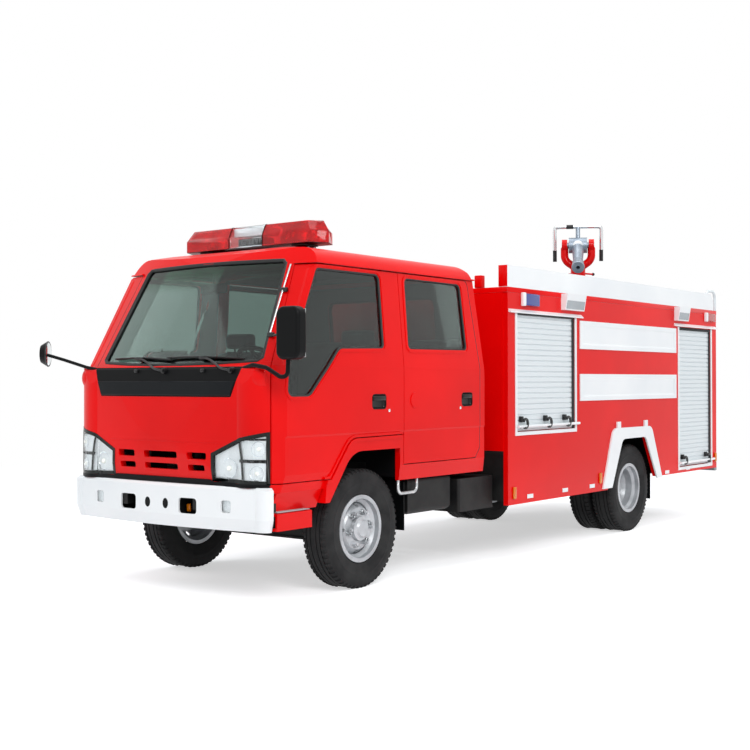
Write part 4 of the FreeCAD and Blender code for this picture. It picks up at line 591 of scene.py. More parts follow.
def aimed(piece, aim, place):
    """Turns a piece's top to its aim and stands it at its place."""
    piece.rotation_euler = Vector(aim).to_track_quat("Z", "Y").to_euler()
    piece.location = place
    return fix_place(piece)


def bowl(place, radius, depth, aim):
    """A chromed reflector: the back half of a ball, pressed flat, open towards its aim."""
    piece = sphere(radius, (0, 0, 0), (1, 1, depth / radius), 28)
    keep_faces(piece, lambda centre, normal: centre.z < 0)
    apply_modifier(piece, "SOLIDIFY", thickness=0.002, offset=1)
    return aimed(piece, aim, place)


def ribbed(shader, scale, along, strength, depth):
    """Moulded ribs that follow each other along an axis."""
    tree = shader.id_data
    place = add(tree, "ShaderNodeTexCoord")
    ribs = add(tree, "ShaderNodeTexWave", ("Vector", place, "Object"), Scale=scale, bands_direction=along)
    relief = add(tree, "ShaderNodeBump", ("Height", ribs, 1), Strength=strength, Distance=depth)
    tree.links.new(relief.outputs[0], shader.inputs["Normal"])


# Moulded flutes: bright stripes behind the lens.
fluted, shader = finish("fluted_reflector", "fbfcfc", 0.3, 0.25)
ribbed(shader, 28.0, "X", 0.5, 0.002)
fog, fog_bowls, fog_lenses = [], [], []
for side in (1, -1):
    fog.append(block((side * 0.53, axle_y - 0.966, 0.55), (side * 0.618, axle_y - 0.951, 0.64), 0.004))
    fog_bowls.append(bowl((side * 0.574, axle_y - 0.966, 0.595), 0.036, 0.02, (0, -1, 0)))
    fog_lenses.append(block((side * 0.574 - 0.036, axle_y - 0.978, 0.559),
                            (side * 0.574 + 0.036, axle_y - 0.972, 0.631), 0.008, 3))
fit("fog_lamp_bowls", fog_bowls, lamp_chrome, 60)
fit("fog_lamp_lenses", fog_lenses, clear_lens)
fit("fog_lamp_backs", fog, fluted)

FILLER_STEPS = 48
FRONT_HALF = 0.852
FRONT_SKINS = "front_lamps", "front_grille", "front_centre_panel", "cab_front_panel"


def front_face(x, z):
    """How far forward the cab's front reaches, whichever of its panels stands there."""
    return min(spot.y for spot in (face_of(node, (x, -6, z), (0, 1, 0)) for node in FRONT_SKINS) if spot)


def grid(name, columns, rows):
    """A flat grid from -1 to 1, for a section to lay over a panel."""
    bpy.ops.mesh.primitive_grid_add(x_subdivisions=columns, y_subdivisions=rows, size=2)
    bpy.context.object.name = name
    return bpy.context.object


filler = grid("bumper_filler", FILLER_STEPS, 1)
for vertex in filler.data.vertices:
    x = vertex.co.x * FRONT_HALF
    top = 0.7515 if abs(x) < 0.438 else 0.7395 if abs(x) < 0.62 else 0.734
    skin = front_face(x, 0.757)
    vertex.co = (x, skin - 0.002, top if vertex.co.y > 0 else 0.713)
apply_modifier(filler, "SOLIDIFY", thickness=0.004, offset=1)
settle(filler, "truck", black_abs)
boxes = []
for side in (1, -1):
    box_piece = block((side * 0.27 - 0.10, axle_y - 0.985, 0.508), (side * 0.27 + 0.10, axle_y - 0.875, 0.66), 0.01)
    keep_faces(box_piece, lambda centre, normal: normal.y > -0.9)
    boxes.append(apply_modifier(box_piece, "SOLIDIFY", thickness=0.003, offset=-1))
for side in (1, -1):
    boxes.append(block((side * 0.70, axle_y - 0.90, 0.47), (side * 0.862, axle_y - 0.85, 0.70), 0.004))
fit("tow_pocket_liners", boxes, chassis_paint)
plugs = []
for side in (1, -1):
    skin = face_of("front_bumper", (side * 0.12, -6, 0.59), (0, 1, 0))
    plug = add_cylinder(1.0, 0.006, (side * 0.081, skin.y + 0.0015, 0.59), "Y", 28)
    plug.scale = (0.024, 0.032, 1)
    plugs.append(fix_place(plug))
fit("bumper_plugs", plugs, black_abs, 50)
fit("tie_down_tag", [block((0.205, axle_y - 0.955, 0.54), (0.235, axle_y - 0.94, 0.59), 0.006, 3)],
    amber_lens)

# ---------- headlamps
# Each unit is a black housing let into the cab's corner, with a chromed bowl inboard and two stacked lamps
# outboard, behind one clear polycarbonate lens that follows the panel. The lens has a black painted border.
def bent_bar(points, width, depth):
    """A flat bar along a line of points, made from a round one that is pressed to its depth."""
    piece = bent_rod("bar", points, width / 2)
    for vertex in piece.data.vertices:
        nearest = min(points, key=lambda point: (point - vertex.co).length)
        vertex.co.y = nearest.y + (vertex.co.y - nearest.y) * depth / width
    return piece


def front_facing(centre, normal):
    """Whether a face is part of the lens, and not of the fog lamps or the housing's back and top."""
    return centre.z > 0.7 and normal.y < -0.35 and normal.z < 0.6


BEZEL = 0.023
lens = keep_faces(raw_copy("front_lamps", "headlamp_lenses"), front_facing)
border = copied(lens, "headlamp_borders")
housing = keep_faces(raw_copy("front_lamps", "headlamp_housings"),
                     lambda centre, normal: centre.z > 0.7 and not front_facing(centre, normal))
apply_modifier(housing, "SOLIDIFY", thickness=0.002, offset=-1)
apply_modifier(lens, "SOLIDIFY", thickness=0.003, offset=-1)
reflector = copied(border, "headlamp_reflectors")
for piece, kept_inside, shift in ((border, False, -0.0012), (reflector, True, 0.016)):
    select_only(piece)
    bpy.ops.object.mode_set(mode="EDIT")
    bpy.ops.mesh.select_mode(type="FACE")
    bpy.ops.mesh.select_all(action="SELECT")
    bpy.ops.mesh.inset(thickness=BEZEL, use_boundary=True)
    if kept_inside:
        bpy.ops.mesh.select_all(action="INVERT")
    bpy.ops.mesh.delete(type="FACE")
    bpy.ops.mesh.select_all(action="SELECT")
    bpy.ops.transform.translate(value=(0, shift, 0))
    bpy.ops.object.mode_set(mode="OBJECT")
    apply_modifier(piece, "SOLIDIFY", thickness=0.0015, offset=1)
settle(reflector, "truck", fluted)
settle(lens, "truck", clear_lens)
settle(housing, "truck", black_gloss)
settle(border, "truck", black_gloss)

DIVIDER_X = 0.664
LAMP_MIDDLE = 0.87
bowls, bulbs, bars = [], [], []
for side in (1, -1):
    def spot(x, z, back):
        """A place behind the lens, inside this side's lamp."""
        seen_at = face_of("front_lamps", (side * min(x, FRONT_HALF), -6, LAMP_MIDDLE), (0, 1, 0))
        return Vector((side * x, seen_at.y + back, z))
    for x, z, radius, depth in ((0.575, 0.825, 0.058, 0.028), (0.79, 0.945, 0.044, 0.022),
                                (0.78, 0.80, 0.042, 0.022)):
        aim = (side * max(0.0, (x - 0.62) * 2.4), -1, 0)
        bowls.append(bowl(spot(x, z, 0.01), radius, depth, aim))
        bulbs.append(sphere(0.3 * radius, spot(x, z, 0.013), segments=12))
    for z, height in ((0.872, 0.02), (1.002, 0.012)):
        bars.append(bent_bar([spot(x, z, 0.006) for x in (DIVIDER_X, 0.72, 0.77, 0.81, 0.845)], height, 0.006))
    bars.append(bent_bar([spot(x, z, 0.006) for x, z in ((0.655, 1.0), (0.672, 0.93), (0.684, 0.85), (0.69, 0.76))],
                         0.016, 0.006))
fit("headlamp_bowls", bowls, lamp_chrome, 60)
fit("headlamp_bulbs", bulbs, bulb_glass, 60)
fit("headlamp_dividers", bars, black_gloss)
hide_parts("front_lamps")

# ---------- cowl fittings and wipers
# Two parallel arms of black painted steel swing on stubs in the cowl, and rest with their rubber blades along the
# foot of the screen. Two washer jets stand between them, and a pressed crease runs across the cowl.
# Painted steel: black, between matt and gloss.
satin_black, shader = finish("black_painted_steel", "131415", 0.35)
grain(shader, 350, 0.0003, 0.2)


def on_screen(x, z, proud):
    """A place on the windscreen, on the cowl below it, or in the gap between the two."""
    seen_at = face_of("cab_glass" if z > 1.47 else "cowl_panel", (x, -6, z), (0, 1, 0))
    return seen_at + Vector((0, -proud, 0)) if seen_at else Vector((x, axle_y - 0.93, z))


wipers = []
for pivot_x, tip_x, blade in ((0.0, -0.30, (-0.575, 0.02)), (0.59, 0.295, (-0.02, 0.60))):
    foot = on_screen(pivot_x, 1.418, 0.004)
    wipers.append(add_cylinder(0.019, 0.03, foot, "Y"))
    wipers.append(add_cylinder(0.011, 0.018, foot + Vector((0, -0.018, 0)), "Y", 16))
    middle = on_screen((pivot_x + tip_x) / 2, 1.452, 0.036)
    tip = on_screen(tip_x, 1.497, 0.03)
    wipers.append(bent_rod("arm", [foot + Vector((0, -0.018, 0)), foot + Vector((-0.06, -0.03, 0.008)), middle,
                                   tip + Vector((0.05, -0.004, -0.004)), tip], 0.0075))
    ends = [on_screen(x, z, 0.014) for x, z in ((blade[0], 1.497), ((blade[0] * 2 + blade[1]) / 3, 1.502),
                                               ((blade[0] + blade[1] * 2) / 3, 1.499), (blade[1], 1.486))]
    wipers.append(bent_rod("blade", ends, 0.0065))
    wipers.append(bent_rod("spine", [p + Vector((0, -0.012, 0.004)) for p in ends], 0.004))
    wipers.append(block(tip - Vector((0.03, 0.008, 0.01)), tip + Vector((0.03, 0.006, 0.01)), 0.003))
fit("wipers", wipers, satin_black, 50)
jets = []
for x in (-0.26, 0.345):
    foot = on_screen(x, 1.416, 0.0)
    jets.append(block(foot + Vector((-0.014, -0.016, -0.01)), foot + Vector((0.014, 0.004, 0.012)), 0.005, 3))
    jets.append(sphere(0.0055, foot + Vector((0, -0.018, 0.002)), segments=12))
fit("washer_jets", jets, satin_black, 50)

band = grid("cowl_lower_band", 32, 3)
for vertex in band.data.vertices:
    row = round((vertex.co.y + 1) * 1.5)
    z = (1.262, 1.268, 1.346, 1.352)[row]
    half_width = 0.586 + (z - 1.254) / (1.44 - 1.254) * 0.08
    x = vertex.co.x * half_width
    skin = face_of("cowl_panel", (x, -6, z), (0, 1, 0))
    vertex.co = (x, skin.y - (0.0006 if row in (0, 3) else 0.006), z)
apply_modifier(band, "SOLIDIFY", thickness=0.003, offset=-1)
# Second black plastic: greyer and rougher than the cowl.
dark_abs, shader = finish("dark_grey_abs", "101316", 0.45, Specular_IOR_Level=0.12)
grain(shader, 500, 0.0003, 0.3)
settle(band, "truck", dark_abs)

# ---------- bright strip and mirror stay on the left pillar
# A chromed moulding edges the screen on the driver's side, held by two black clips. The lower clip carries a short
# stay that steadies the mirror head.
# Polished stainless steel: nearly a mirror.
polished = finish("polished_stainless", "dfe1e3", 0.14, 1.0)[0]


def on_pillar(x, z, proud):
    """A place in front of whichever piece of the screen's left edge stands there."""
    for node in ("cab_pillars", "cab_glass", "front_door_left"):
        seen_at = face_of(node, (x, -6, z), (0, 1, 0))
        if seen_at:
            return seen_at + Vector((0.0, -proud, 0.0))


strip = bent_rod("screen_moulding", [on_pillar(x, z, 0.012) for x, z in ((0.684, 2.085), (0.694, 1.95),
                                                                         (0.706, 1.80), (0.722, 1.63))], 0.0065)
settle(strip, "truck", polished, 60)
clips = []
for x, z in ((0.697, 1.92), (0.721, 1.635)):
    foot = on_pillar(x, z, 0.0)
    clips.append(block(foot + Vector((-0.016, -0.02, -0.014)), foot + Vector((0.03, 0.004, 0.014)), 0.004))
foot = on_pillar(0.74, 1.63, 0.0)
mirror_low, mirror_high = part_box("mirrors")
head_side = Vector((mirror_high[0] - 0.17, mirror_low[1] + 0.10, 1.62))
clips.append(bent_rod("stay", [foot, foot + Vector((0.03, -0.03, 0.0)), head_side + Vector((-0.03, 0, 0)), head_side],
                      0.008))
fit("moulding_clips", clips, satin_black, 50)

# ---------- doors' handles and locks
# Each door has a black moulded cup let into its skin, with a black pull lever across it and a steel lock barrel
# beside it. Inside, a padded armrest is screwed to the trim.
for doors, cup_low, cup_high, lock in (("front", (-2.3255, 1.164), (-2.1675, 1.266), -2.142),
                                       ("rear", (-1.2655, 1.166), (-1.1175, 1.268), -1.285)):
    for side, word in ((1, "left"), (-1, "right")):
        body = f"door_{doors}_{word}"
        middle = ((cup_low[0] + cup_high[0]) / 2, (cup_low[1] + cup_high[1]) / 2)
        floor_x = face_of(f"{doors}_door_{word}", (side * 2, *middle), (-side, 0, 0)).x
        rim_x = floor_x + side * 0.024
        liner = block((floor_x, cup_low[0] + 0.003, cup_low[1] + 0.003),
                      (rim_x - side * 0.001, cup_high[0] - 0.003, cup_high[1] - 0.003))
        keep_faces(liner, lambda centre, normal: normal.x * side < 0.9)
        made = [apply_modifier(soften(liner, 0.02, 4), "SOLIDIFY", thickness=0.003, offset=-1)]
        made.append(block((rim_x - side * 0.012, cup_low[0] + 0.008, middle[1] + 0.006),
                          (rim_x + side * 0.008, cup_high[0] - 0.012, cup_high[1] - 0.012), 0.008, 3))
        settle(joined(f"{doors}_handle_{word}", made), body, black_gloss, 40)
        barrel = add_cylinder(0.011, 0.008, (rim_x + side * 0.001, lock, middle[1] - 0.06), "X", 20)
        settle(soften(barrel, 0.002), body, polished, 40).name = f"{doors}_lock_{word}"
        rest_y = (cup_low[0] - 0.30, cup_low[0] + 0.08) if doors == "front" else (cup_low[0] - 0.32, cup_low[0])
        inner = face_of(f"{doors}_door_{word}", (side * 0.3, rest_y[0] + 0.1, 1.10), (side, 0, 0))
        armrest = block((inner.x, rest_y[0], 1.075), (inner.x - side * 0.05, rest_y[1], 1.125), 0.018, 4)
        armrest.name = f"{doors}_armrest_{word}"
        settle(armrest, body, black_abs, 40)

# ---------- mirror glasses
# The left head holds a flat silvered glass, the round kerb mirror a domed one, each in a black rim facing back.
# Silvered glass: a clean mirror.
silvered = finish("silvered_glass", "dfe5e6", 0.03, 1.0)[0]
plane_y = axle_y - 0.930
glasses = [block((mirror_high[0] - 0.166, plane_y - 0.002, 1.49), (mirror_high[0] - 0.012, plane_y + 0.0015, 1.77),
                 0.02, 4)]
dome = sphere(0.078, (0, 0, 0), (1, 1, 0.16), 28)
keep_faces(dome, lambda centre, normal: centre.z > 0)
dish_centre = Vector((-1.101, axle_y - 1.003, 1.538))
facing = Vector((math.sin(math.radians(50)), math.cos(math.radians(50)), 0))
aimed(dome, facing, dish_centre + facing * 0.0015)
glasses.append(apply_modifier(dome, "SOLIDIFY", thickness=0.002, offset=1))
fit("mirror_glasses", glasses, silvered, 40)
bpy.ops.mesh.primitive_torus_add(major_radius=0.083, minor_radius=0.006, major_segments=40, minor_segments=8,
                                 location=dish_centre + facing * 0.001,
                                 rotation=facing.to_track_quat("Z", "Y").to_euler())
settle(bpy.context.object, "truck", satin_black, 60).name = "kerb_mirror_rim"

# ---------- light bar
# Two red polycarbonate lens boxes and a clear one between them stand on an aluminium tray with two black feet.
# Four rotating bulbs with chromed reflectors work behind the red, and a speaker horn behind the clear.
CENTRE_HALF, SHELL_FOOT, TRAY_TOP = 0.155, 2.2625, 2.278
# Red polycarbonate: deep where it is thick, bright where light comes through.
red_lens, shader = finish("red_polycarbonate", "e01015", 0.05, Transmission_Weight=0.72, IOR=1.4)
tint(shader, "d10c12", "ee2028", 7.0)
bar_low, bar_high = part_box("light_bar")
bar_y = (bar_low[1] + bar_high[1]) / 2


def between(piece, low_x, high_x):
    """Cuts a closed piece to a stretch along X, and closes its ends."""
    for at, direction in ((low_x, -1), (high_x, 1)):
        select_only(piece)
        bpy.ops.object.mode_set(mode="EDIT")
        bpy.ops.mesh.select_all(action="SELECT")
        bpy.ops.mesh.bisect(plane_co=(at, 0, 0), plane_no=(direction, 0, 0), clear_outer=True, use_fill=True)
        bpy.ops.object.mode_set(mode="OBJECT")
    return piece


for name, low_x, high_x, material in (("light_bar_left", CENTRE_HALF, 1, red_lens),
                                      ("light_bar_right", -1, -CENTRE_HALF, red_lens),
                                      ("light_bar_centre", -CENTRE_HALF, CENTRE_HALF, clear_lens)):
    shell = keep_faces(raw_copy("light_bar", name), lambda centre, normal: centre.z > SHELL_FOOT)
    between(shell, low_x, high_x)
    apply_modifier(shell, "SOLIDIFY", thickness=0.003, offset=-1)
    settle(shell, "truck", material)
    if name == "light_bar_left":
        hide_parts("light_bar")
feet = keep_faces(raw_copy("light_bar", "light_bar_feet"), lambda centre, normal: centre.z < SHELL_FOOT)
feet = [apply_modifier(feet, "SOLIDIFY", thickness=0.002, offset=-1)]
for x in (0.43, -0.43):
    feet.append(block((x - 0.055, bar_y - 0.075, 2.252), (x + 0.055, bar_y + 0.075, 2.262), 0.003))
fit("light_bar_feet", feet, satin_black)
bolts = [add_cylinder(0.012, 0.012, (x, y, 2.235), "X", 6)
         for x in (0.484, -0.484) for y in (bar_y - 0.03, bar_y + 0.03)]
fit("light_bar_bolts", bolts, zinc_plate)
fit("light_bar_tray", [block((-0.56, bar_y - 0.085, 2.268), (0.56, bar_y + 0.085, TRAY_TOP), 0.003)],
    plate)
rotators, lamps = [], []
for x in (-0.52, -0.30, 0.30, 0.52):
    rotators.append(add_cylinder(0.035, 0.012, (x, bar_y, TRAY_TOP + 0.006), "Z", 28))
    rotators.append(bowl((x, bar_y + 0.01, TRAY_TOP + 0.055), 0.042, 0.03, (0.35 if x > 0 else -0.35, -1, 0)))
    lamps.append(sphere(0.013, (x, bar_y - 0.005, TRAY_TOP + 0.055), (1, 1, 1.5), 16))
for x in (-0.41, 0.41):
    rotators.append(block((x - 0.03, bar_y - 0.06, TRAY_TOP), (x + 0.03, bar_y + 0.06, TRAY_TOP + 0.07), 0.006))
fit("light_bar_reflectors", rotators, lamp_chrome, 50)
fit("light_bar_bulbs", lamps, bulb_glass, 60)
horn = [block((-0.13, bar_y - 0.06, TRAY_TOP), (0.13, bar_y + 0.06, TRAY_TOP + 0.055), 0.01, 3)]
for k in range(9):
    x = -0.112 + 0.028 * k
    horn.append(block((x - 0.005, bar_y - 0.067, TRAY_TOP + 0.006), (x + 0.005, bar_y - 0.058, TRAY_TOP + 0.05),
                      0.002))
fit("light_bar_horn", horn, dark_abs)
fit("light_bar_diffuser", [block((-0.148, bar_y - 0.078, 2.345), (0.148, bar_y + 0.078, 2.402), 0.006)],
    white_enamel)
outline = ((bar_low[1] - 0.001, 2.266), (bar_low[1] - 0.001, 2.338), (bar_y - 0.0865, 2.413),
           (bar_y + 0.0865, 2.413), (bar_high[1] + 0.001, 2.338), (bar_high[1] + 0.001, 2.266))
seams = [bent_rod("seam", [(x, y, z) for y, z in outline], 0.003, 2) for x in (CENTRE_HALF, -CENTRE_HALF)]
fit("light_bar_seams", seams, dark_abs)

# ---------- entry steps
# The cab's ledges carry strips of ribbed aluminium for a firm foothold. The steps under the rear doors are bent from
# round bar and galvanised bright.
strips = []
for side in (1, -1):
    inner, outer = side * 0.812, side * 0.886
    strips.append(block((inner, axle_y - 0.868, 0.5655), (outer, axle_y - 0.572, 0.5685), 0.001))
    for k in range(8):
        x = side * (0.818 + 0.009 * k)
        strips.append(block((x - 0.002, axle_y - 0.862, 0.568), (x + 0.002, axle_y - 0.578, 0.571), 0.0008))
fit("step_treads", strips, plate)
# Bright zinc on bar: light metal, lightly clouded.
rod_steel, shader = finish("bright_zinc_rod", "b9bcbd", 0.3, 0.85)
tint(shader, "a9acae", "c9cbcc", 30)
ROD_FROM_Y = -2.15
panels = keep_faces(raw_copy("cab_steps", "step_panels"), lambda centre, normal: centre.y < ROD_FROM_Y)
settle(panels, "truck", red_enamel)
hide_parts("cab_steps")
rods = keep_faces(raw_copy("cab_steps", "rod_steps"), lambda centre, normal: centre.y > ROD_FROM_Y)
settle(rods, "truck", rod_steel, 60)

# ---------- shutters' seals and painted shade, bars and latches
# Black brush seals line the jambs and the top of each opening. Their black is partly real seal and partly painted
# shade, in the gap by the rear jamb and under the hood.
# A white bar runs across the foot of each curtain, and black spring hooks on it hold the curtain down.
SIDE = 0.985
SHUTTERS = (("front", -0.6235, 0.2975, 0.961, 1.882, (-0.5335, -0.1625, 0.1495)),
            ("rear", 2.3975, 3.1775, 0.520, 1.865, (2.50, 3.07)))


def side_block(side, x0, x1, y0, y1, z0, z1, *edge):
    """A block on the body's side; x0 and x1 are measured outwards from its skin."""
    return block((side * (SIDE + x0), y0, z0), (side * (SIDE + x1), y1, z1), *edge)


# Brush seal: black, matt, combed along its height. Its black also serves as painted shade in the rear jamb's gap and
# under the shutter's hood.
seal_painted_shade, shader = finish("black_seal_painted_shade", "15181a", 0.7)
grain(shader, 300, 0.001, 0.5, (1, 1, 0.1))
seals, bars, hooks = [], [], []
for name, y0, y1, z0, z1, places in SHUTTERS:
    for side in (1, -1):
        # Jamb strips. The wide one at the rear jamb is partly painted shade in the gap there.
        for low, high in ((y0 + 0.001, y0 + 0.010), (y1 - 0.030, y1 - 0.001)):
            seals.append(side_block(side, -0.011, -0.003, low, high, z0 + 0.002, z1 - 0.002, 0.001))
        # The strip across the top is partly seal and partly painted shade under the shutter's hood.
        seals.append(side_block(side, -0.011, -0.002, y0 + 0.001, y1 - 0.001, z1 - 0.028, z1 - 0.004, 0.001))
        bar_x, bar_z = side * (SIDE + 0.019), z0 + 0.041
        bars.append(bent_rod("bar", [(bar_x, y, bar_z) for y in (y0 - 0.012, (y0 + y1) / 2, y1 + 0.045)], 0.0115, 2))
        for y in (y0 + 0.02, y1 - 0.02):
            bars.append(block((side * (SIDE - 0.002), y - 0.01, bar_z - 0.01), (bar_x, y + 0.01, bar_z + 0.01), 0.003))
        for y in places:
            turn_points = [(bar_x + side * 0.004, y + 0.034 * math.cos(a), z0 + 0.062 + 0.036 * math.sin(a))
                           for a in (math.radians(v) for v in range(150, -150, -30))]
            hooks.append(bent_rod("hook", turn_points, 0.0105))
            hooks.append(block((side * (SIDE - 0.012), y - 0.045, z0 + 0.072), (bar_x, y - 0.018, z0 + 0.118),
                               0.005, 3))
fit("shutter_seals_painted_shade", seals, seal_painted_shade)
fit("shutter_bars", bars, white_enamel, 50)
fit("shutter_hooks", hooks, satin_black, 50)

# ---------- lamps along the top of the body
# A blue flasher over each front shutter and a red one at the rear, each on a white base, and two floodlights with
# grey ribbed glass in white wedge housings between them.
# Blue and red flasher plastic: dark, glossy, a little see-through; flood glass is grey and ribbed.
blue_lens = finish("blue_polycarbonate", "123a9c", 0.08, Transmission_Weight=0.25, Coat_Weight=0.5)[0]
flood_glass, shader = finish("ribbed_flood_glass", "a9b0b4", 0.22, 0.3)
ribbed(shader, 16.0, "Y", 0.6, 0.003)
FLOODS_FROM, FLOODS_TO = -0.3, 3.05
marker_red = finish("marker_red", "c31419", 0.12, Transmission_Weight=0.25, Coat_Weight=0.5)[0]
floods = keep_faces(raw_copy("body_lamps", "flood_housings"), lambda centre, normal: FLOODS_FROM < centre.y < FLOODS_TO)
settle(floods, "truck", white_enamel)
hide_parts("body_lamps")
for name, low_y, high_y, lens, word in (("blue_flashers", -1, FLOODS_FROM, blue_lens, "lamp_clear"),
                                        ("rear_flashers", FLOODS_TO, 4, marker_red, "lamp_red")):
    flashers = keep_faces(raw_copy("body_lamps", name), lambda centre, normal: low_y < centre.y < high_y)
    settle(flashers, "truck", lens)
lamp_bases, panes = [], []
for side in (1, -1):
    for y0, y1, z0, z1 in ((-0.566, -0.527, 1.924, 2.027), (3.018, 3.058, 1.940, 2.030)):
        lamp_bases.append(side_block(side, 0.0005, 0.031, y0, y1, z0, z1, 0.006, 3))
    for y0, y1 in ((0.0715, 0.3955), (2.2925, 2.5425)):
        pane = block((-0.0015, y0 + 0.012, 1.932), (0.0015, y1 - 0.012, 1.999), 0.0005)
        for vertex in pane.data.vertices:
            lean = (vertex.co.z - 1.922) / 0.130
            vertex.co.x = side * (SIDE + 0.0405 + 0.022 * lean + vertex.co.x)
        pane.data.update()
        if side < 0:
            pane.data.flip_normals()
        panes.append(pane)
fit("flasher_bases", lamp_bases, white_enamel)
fit("flood_glasses", panes, flood_glass)

# ---------- side markers and reflectors
# Amber marker lamps stand upright along the skirt, each one moulding of clear amber plastic. Flat white reflectors
# are stuck between them.
ambers, whites = [], []
for side in (1, -1):
    for y, z in ((-0.6695, 0.501), (0.7455, 0.523), (3.2885, 0.572)):
        ambers.append(side_block(side, 0.0005, 0.014, y - 0.020, y + 0.020, z - 0.045, z + 0.045, 0.006, 3))
    for y, z in ((-0.4305, 0.460), (0.1295, 0.466), (0.5985, 0.466), (2.1145, 0.491), (2.6055, 0.500),
                 (3.1305, 0.510)):
        whites.append(side_block(side, 0.0005, 0.004, y - 0.045, y + 0.045, z - 0.016, z + 0.016, 0.0015))
fit("side_markers", ambers, amber_lens)
fit("side_reflectors", whites, white_enamel)

# ---------- roof board ends and deck post
# The boards' front flanges, the gutter along the top of each side and the short post beside them are folded steel,
# red like the body. Deck and rear bumper are chequer plate, a dull alloy with a raised lattice.
ends = []
for side in (1, -1):
    ends.append(block((side * 0.909, -0.7645, 2.0635), (side * 0.962, -0.7615, 2.2247), 0.001))
    ends.append(block((side * 0.961, -0.7625, 2.0635), (side * 0.9855, -0.7595, 2.2247), 0.001))
ends.append(block((0.680, -0.745, 2.0632), (0.743, -0.690, 2.160), 0.006, 3))
for side in (1, -1):
    ends.append(side_block(side, 0.0003, 0.002, -0.762, 3.332, 2.0205, 2.0595, 0.0005))
for low, high in ((-0.7638, -0.7623), (3.3323, 3.3338)):
    ends.append(block((-SIDE, low, 2.0205), (SIDE, high, 2.0595), 0.0005))
fit("board_ends", ends, red_enamel)
chequer, shader = finish("chequer_plate", "8d9295", 0.45, 0.6)
tree = shader.id_data
place = add(tree, "ShaderNodeTexCoord")
turned_place = add(tree, "ShaderNodeMapping", ("Vector", place, "Object"), Rotation=(0, 0, math.radians(45)))
checks = add(tree, "ShaderNodeTexBrick", ("Vector", turned_place, 0), Scale=24.0, Mortar_Size=0.035)
relief = add(tree, "ShaderNodeBump", ("Height", checks, "Fac"), Strength=0.5, Distance=0.002)
tree.links.new(relief.outputs[0], shader.inputs["Normal"])
for name in ("body_deck", "rear_bumper"):
    dress(name, chequer)

# ---------- monitor fittings
# The hand bar is bright steel with black rubber grips, the barrel is grey anodised aluminium, and hexagon bolts hold
# the base plate to the deck. A white cap closes the elbow between the two arms.
riser_low, riser_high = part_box("monitor_riser")
swing_at = Vector((0, (riser_low[1] + riser_high[1]) / 2, 2.7))
swung = Matrix.Rotation(math.radians(28), 4, "Z")


def at_gun(x, y, z):
    """A place on the monitor, given from its pivot before it is swung aside."""
    return swing_at + swung @ Vector((x, y, z))


# Anodised barrel: blue grey metal with a fine turned grain.
anodised, shader = finish("grey_anodised_barrel", "8b97a4", 0.34, 0.55)
tint(shader, "7d8996", "9aa5b0", 14)
grain(shader, 200, 0.0004, 0.2, (1, 1, 0.2))
dress("monitor_barrel", anodised)
# Grip rubber: black, matt, coarse.
grip_rubber, shader = finish("black_grip_rubber", "111213", 0.6)
grain(shader, 160, 0.0012, 0.5)
bar_ends = [(side * 0.229, 0.075, -0.140) for side in (1, -1)]
grips = [bent_rod("grip", [at_gun(x, y - 0.001, z - 0.012), at_gun(x, y - 0.010, z + 0.045),
                           at_gun(x, y - 0.020, z + 0.10)], 0.0195) for x, y, z in bar_ends]
grips.append(bent_rod("sleeve", [at_gun(x, 0.020, 0.189) for x in (-0.115, -0.08, -0.045)], 0.021))
settle(joined("monitor_grips", grips), "monitor_gun", grip_rubber, 50)
bar_half = [(0.229, 0.056, -0.04), (0.229, 0.036, 0.09), (0.229, 0.024, 0.160), (0.222, 0.021, 0.182),
            (0.195, 0.020, 0.189)]
bar_line = [(-x, y, z) for x, y, z in bar_half] + [(0, 0.020, 0.189)] + bar_half[::-1]
hand_bar = bent_rod("monitor_hand_bar", [at_gun(*point) for point in bar_line], 0.0192)
settle(hand_bar, "monitor_gun", polished, 60)
cap = aimed(sphere(0.05, (0, 0, 0), (1, 1, 0.5), 28), swung @ Vector((0, -1, 0.25)), at_gun(0, -0.076, -0.004))
cap.name = "monitor_elbow_cap"
settle(cap, "monitor_gun", white_enamel, 60)
bolts = []
for k in range(8):
    turn_at = math.radians(45 * k + 20)
    for radius, height, circle, z in ((0.010, 0.010, 0.108, 2.081), (0.007, 0.008, 0.083, 2.3415)):
        place = (circle * math.cos(turn_at), swing_at.y + circle * math.sin(turn_at), z)
        bolts.append(add_cylinder(radius, height, place, "Z", 6))
fit("monitor_bolts", bolts, zinc_plate)
knobs = [sphere(0.016, at_gun(x, 0.16, -0.277), segments=16) for x in (0.15, -0.15)]
settle(joined("monitor_lock_knobs", knobs), "monitor_turret", grip_rubber, 60)

# ---------- rear lamps and plate
# The tail clusters have red, amber and clear windows, moulded side by side and ribbed inside. A blank white plate is
# screwed on below the shutter.
tail_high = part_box("tail_lamps")[1]
windows = {"amber": [], "clear": []}
for side in (1, -1):
    for word, x0, x1 in (("amber", 0.85, 0.925), ("clear", 0.705, 0.765)):
        windows[word].append(block((side * x0, tail_high[1] - 0.004, 0.63),
                                   (side * x1, tail_high[1] + 0.001, 0.73), 0.003))
fit("tail_amber_windows", windows["amber"], amber_lens)
fit("tail_clear_windows", windows["clear"], clear_lens)
# Tail lamp plastic: red, glossy, ribbed across.
tail_plastic, shader = finish("tail_lamp_red", "b80f14", 0.12, Transmission_Weight=0.2, Coat_Weight=0.5)
ribbed(shader, 22.0, "Z", 0.4, 0.002)
dress("tail_lamps", tail_plastic)
rear_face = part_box("body_sides")[1][1]
number_plate = [block((-0.22, rear_face, 0.64), (0.22, rear_face + 0.006, 0.75), 0.004)]
for x in (-0.17, 0.17):
    number_plate.append(add_cylinder(0.007, 0.006, (x, rear_face + 0.008, 0.695), "Y", 12))
fit("number_plate", number_plate, white_enamel)

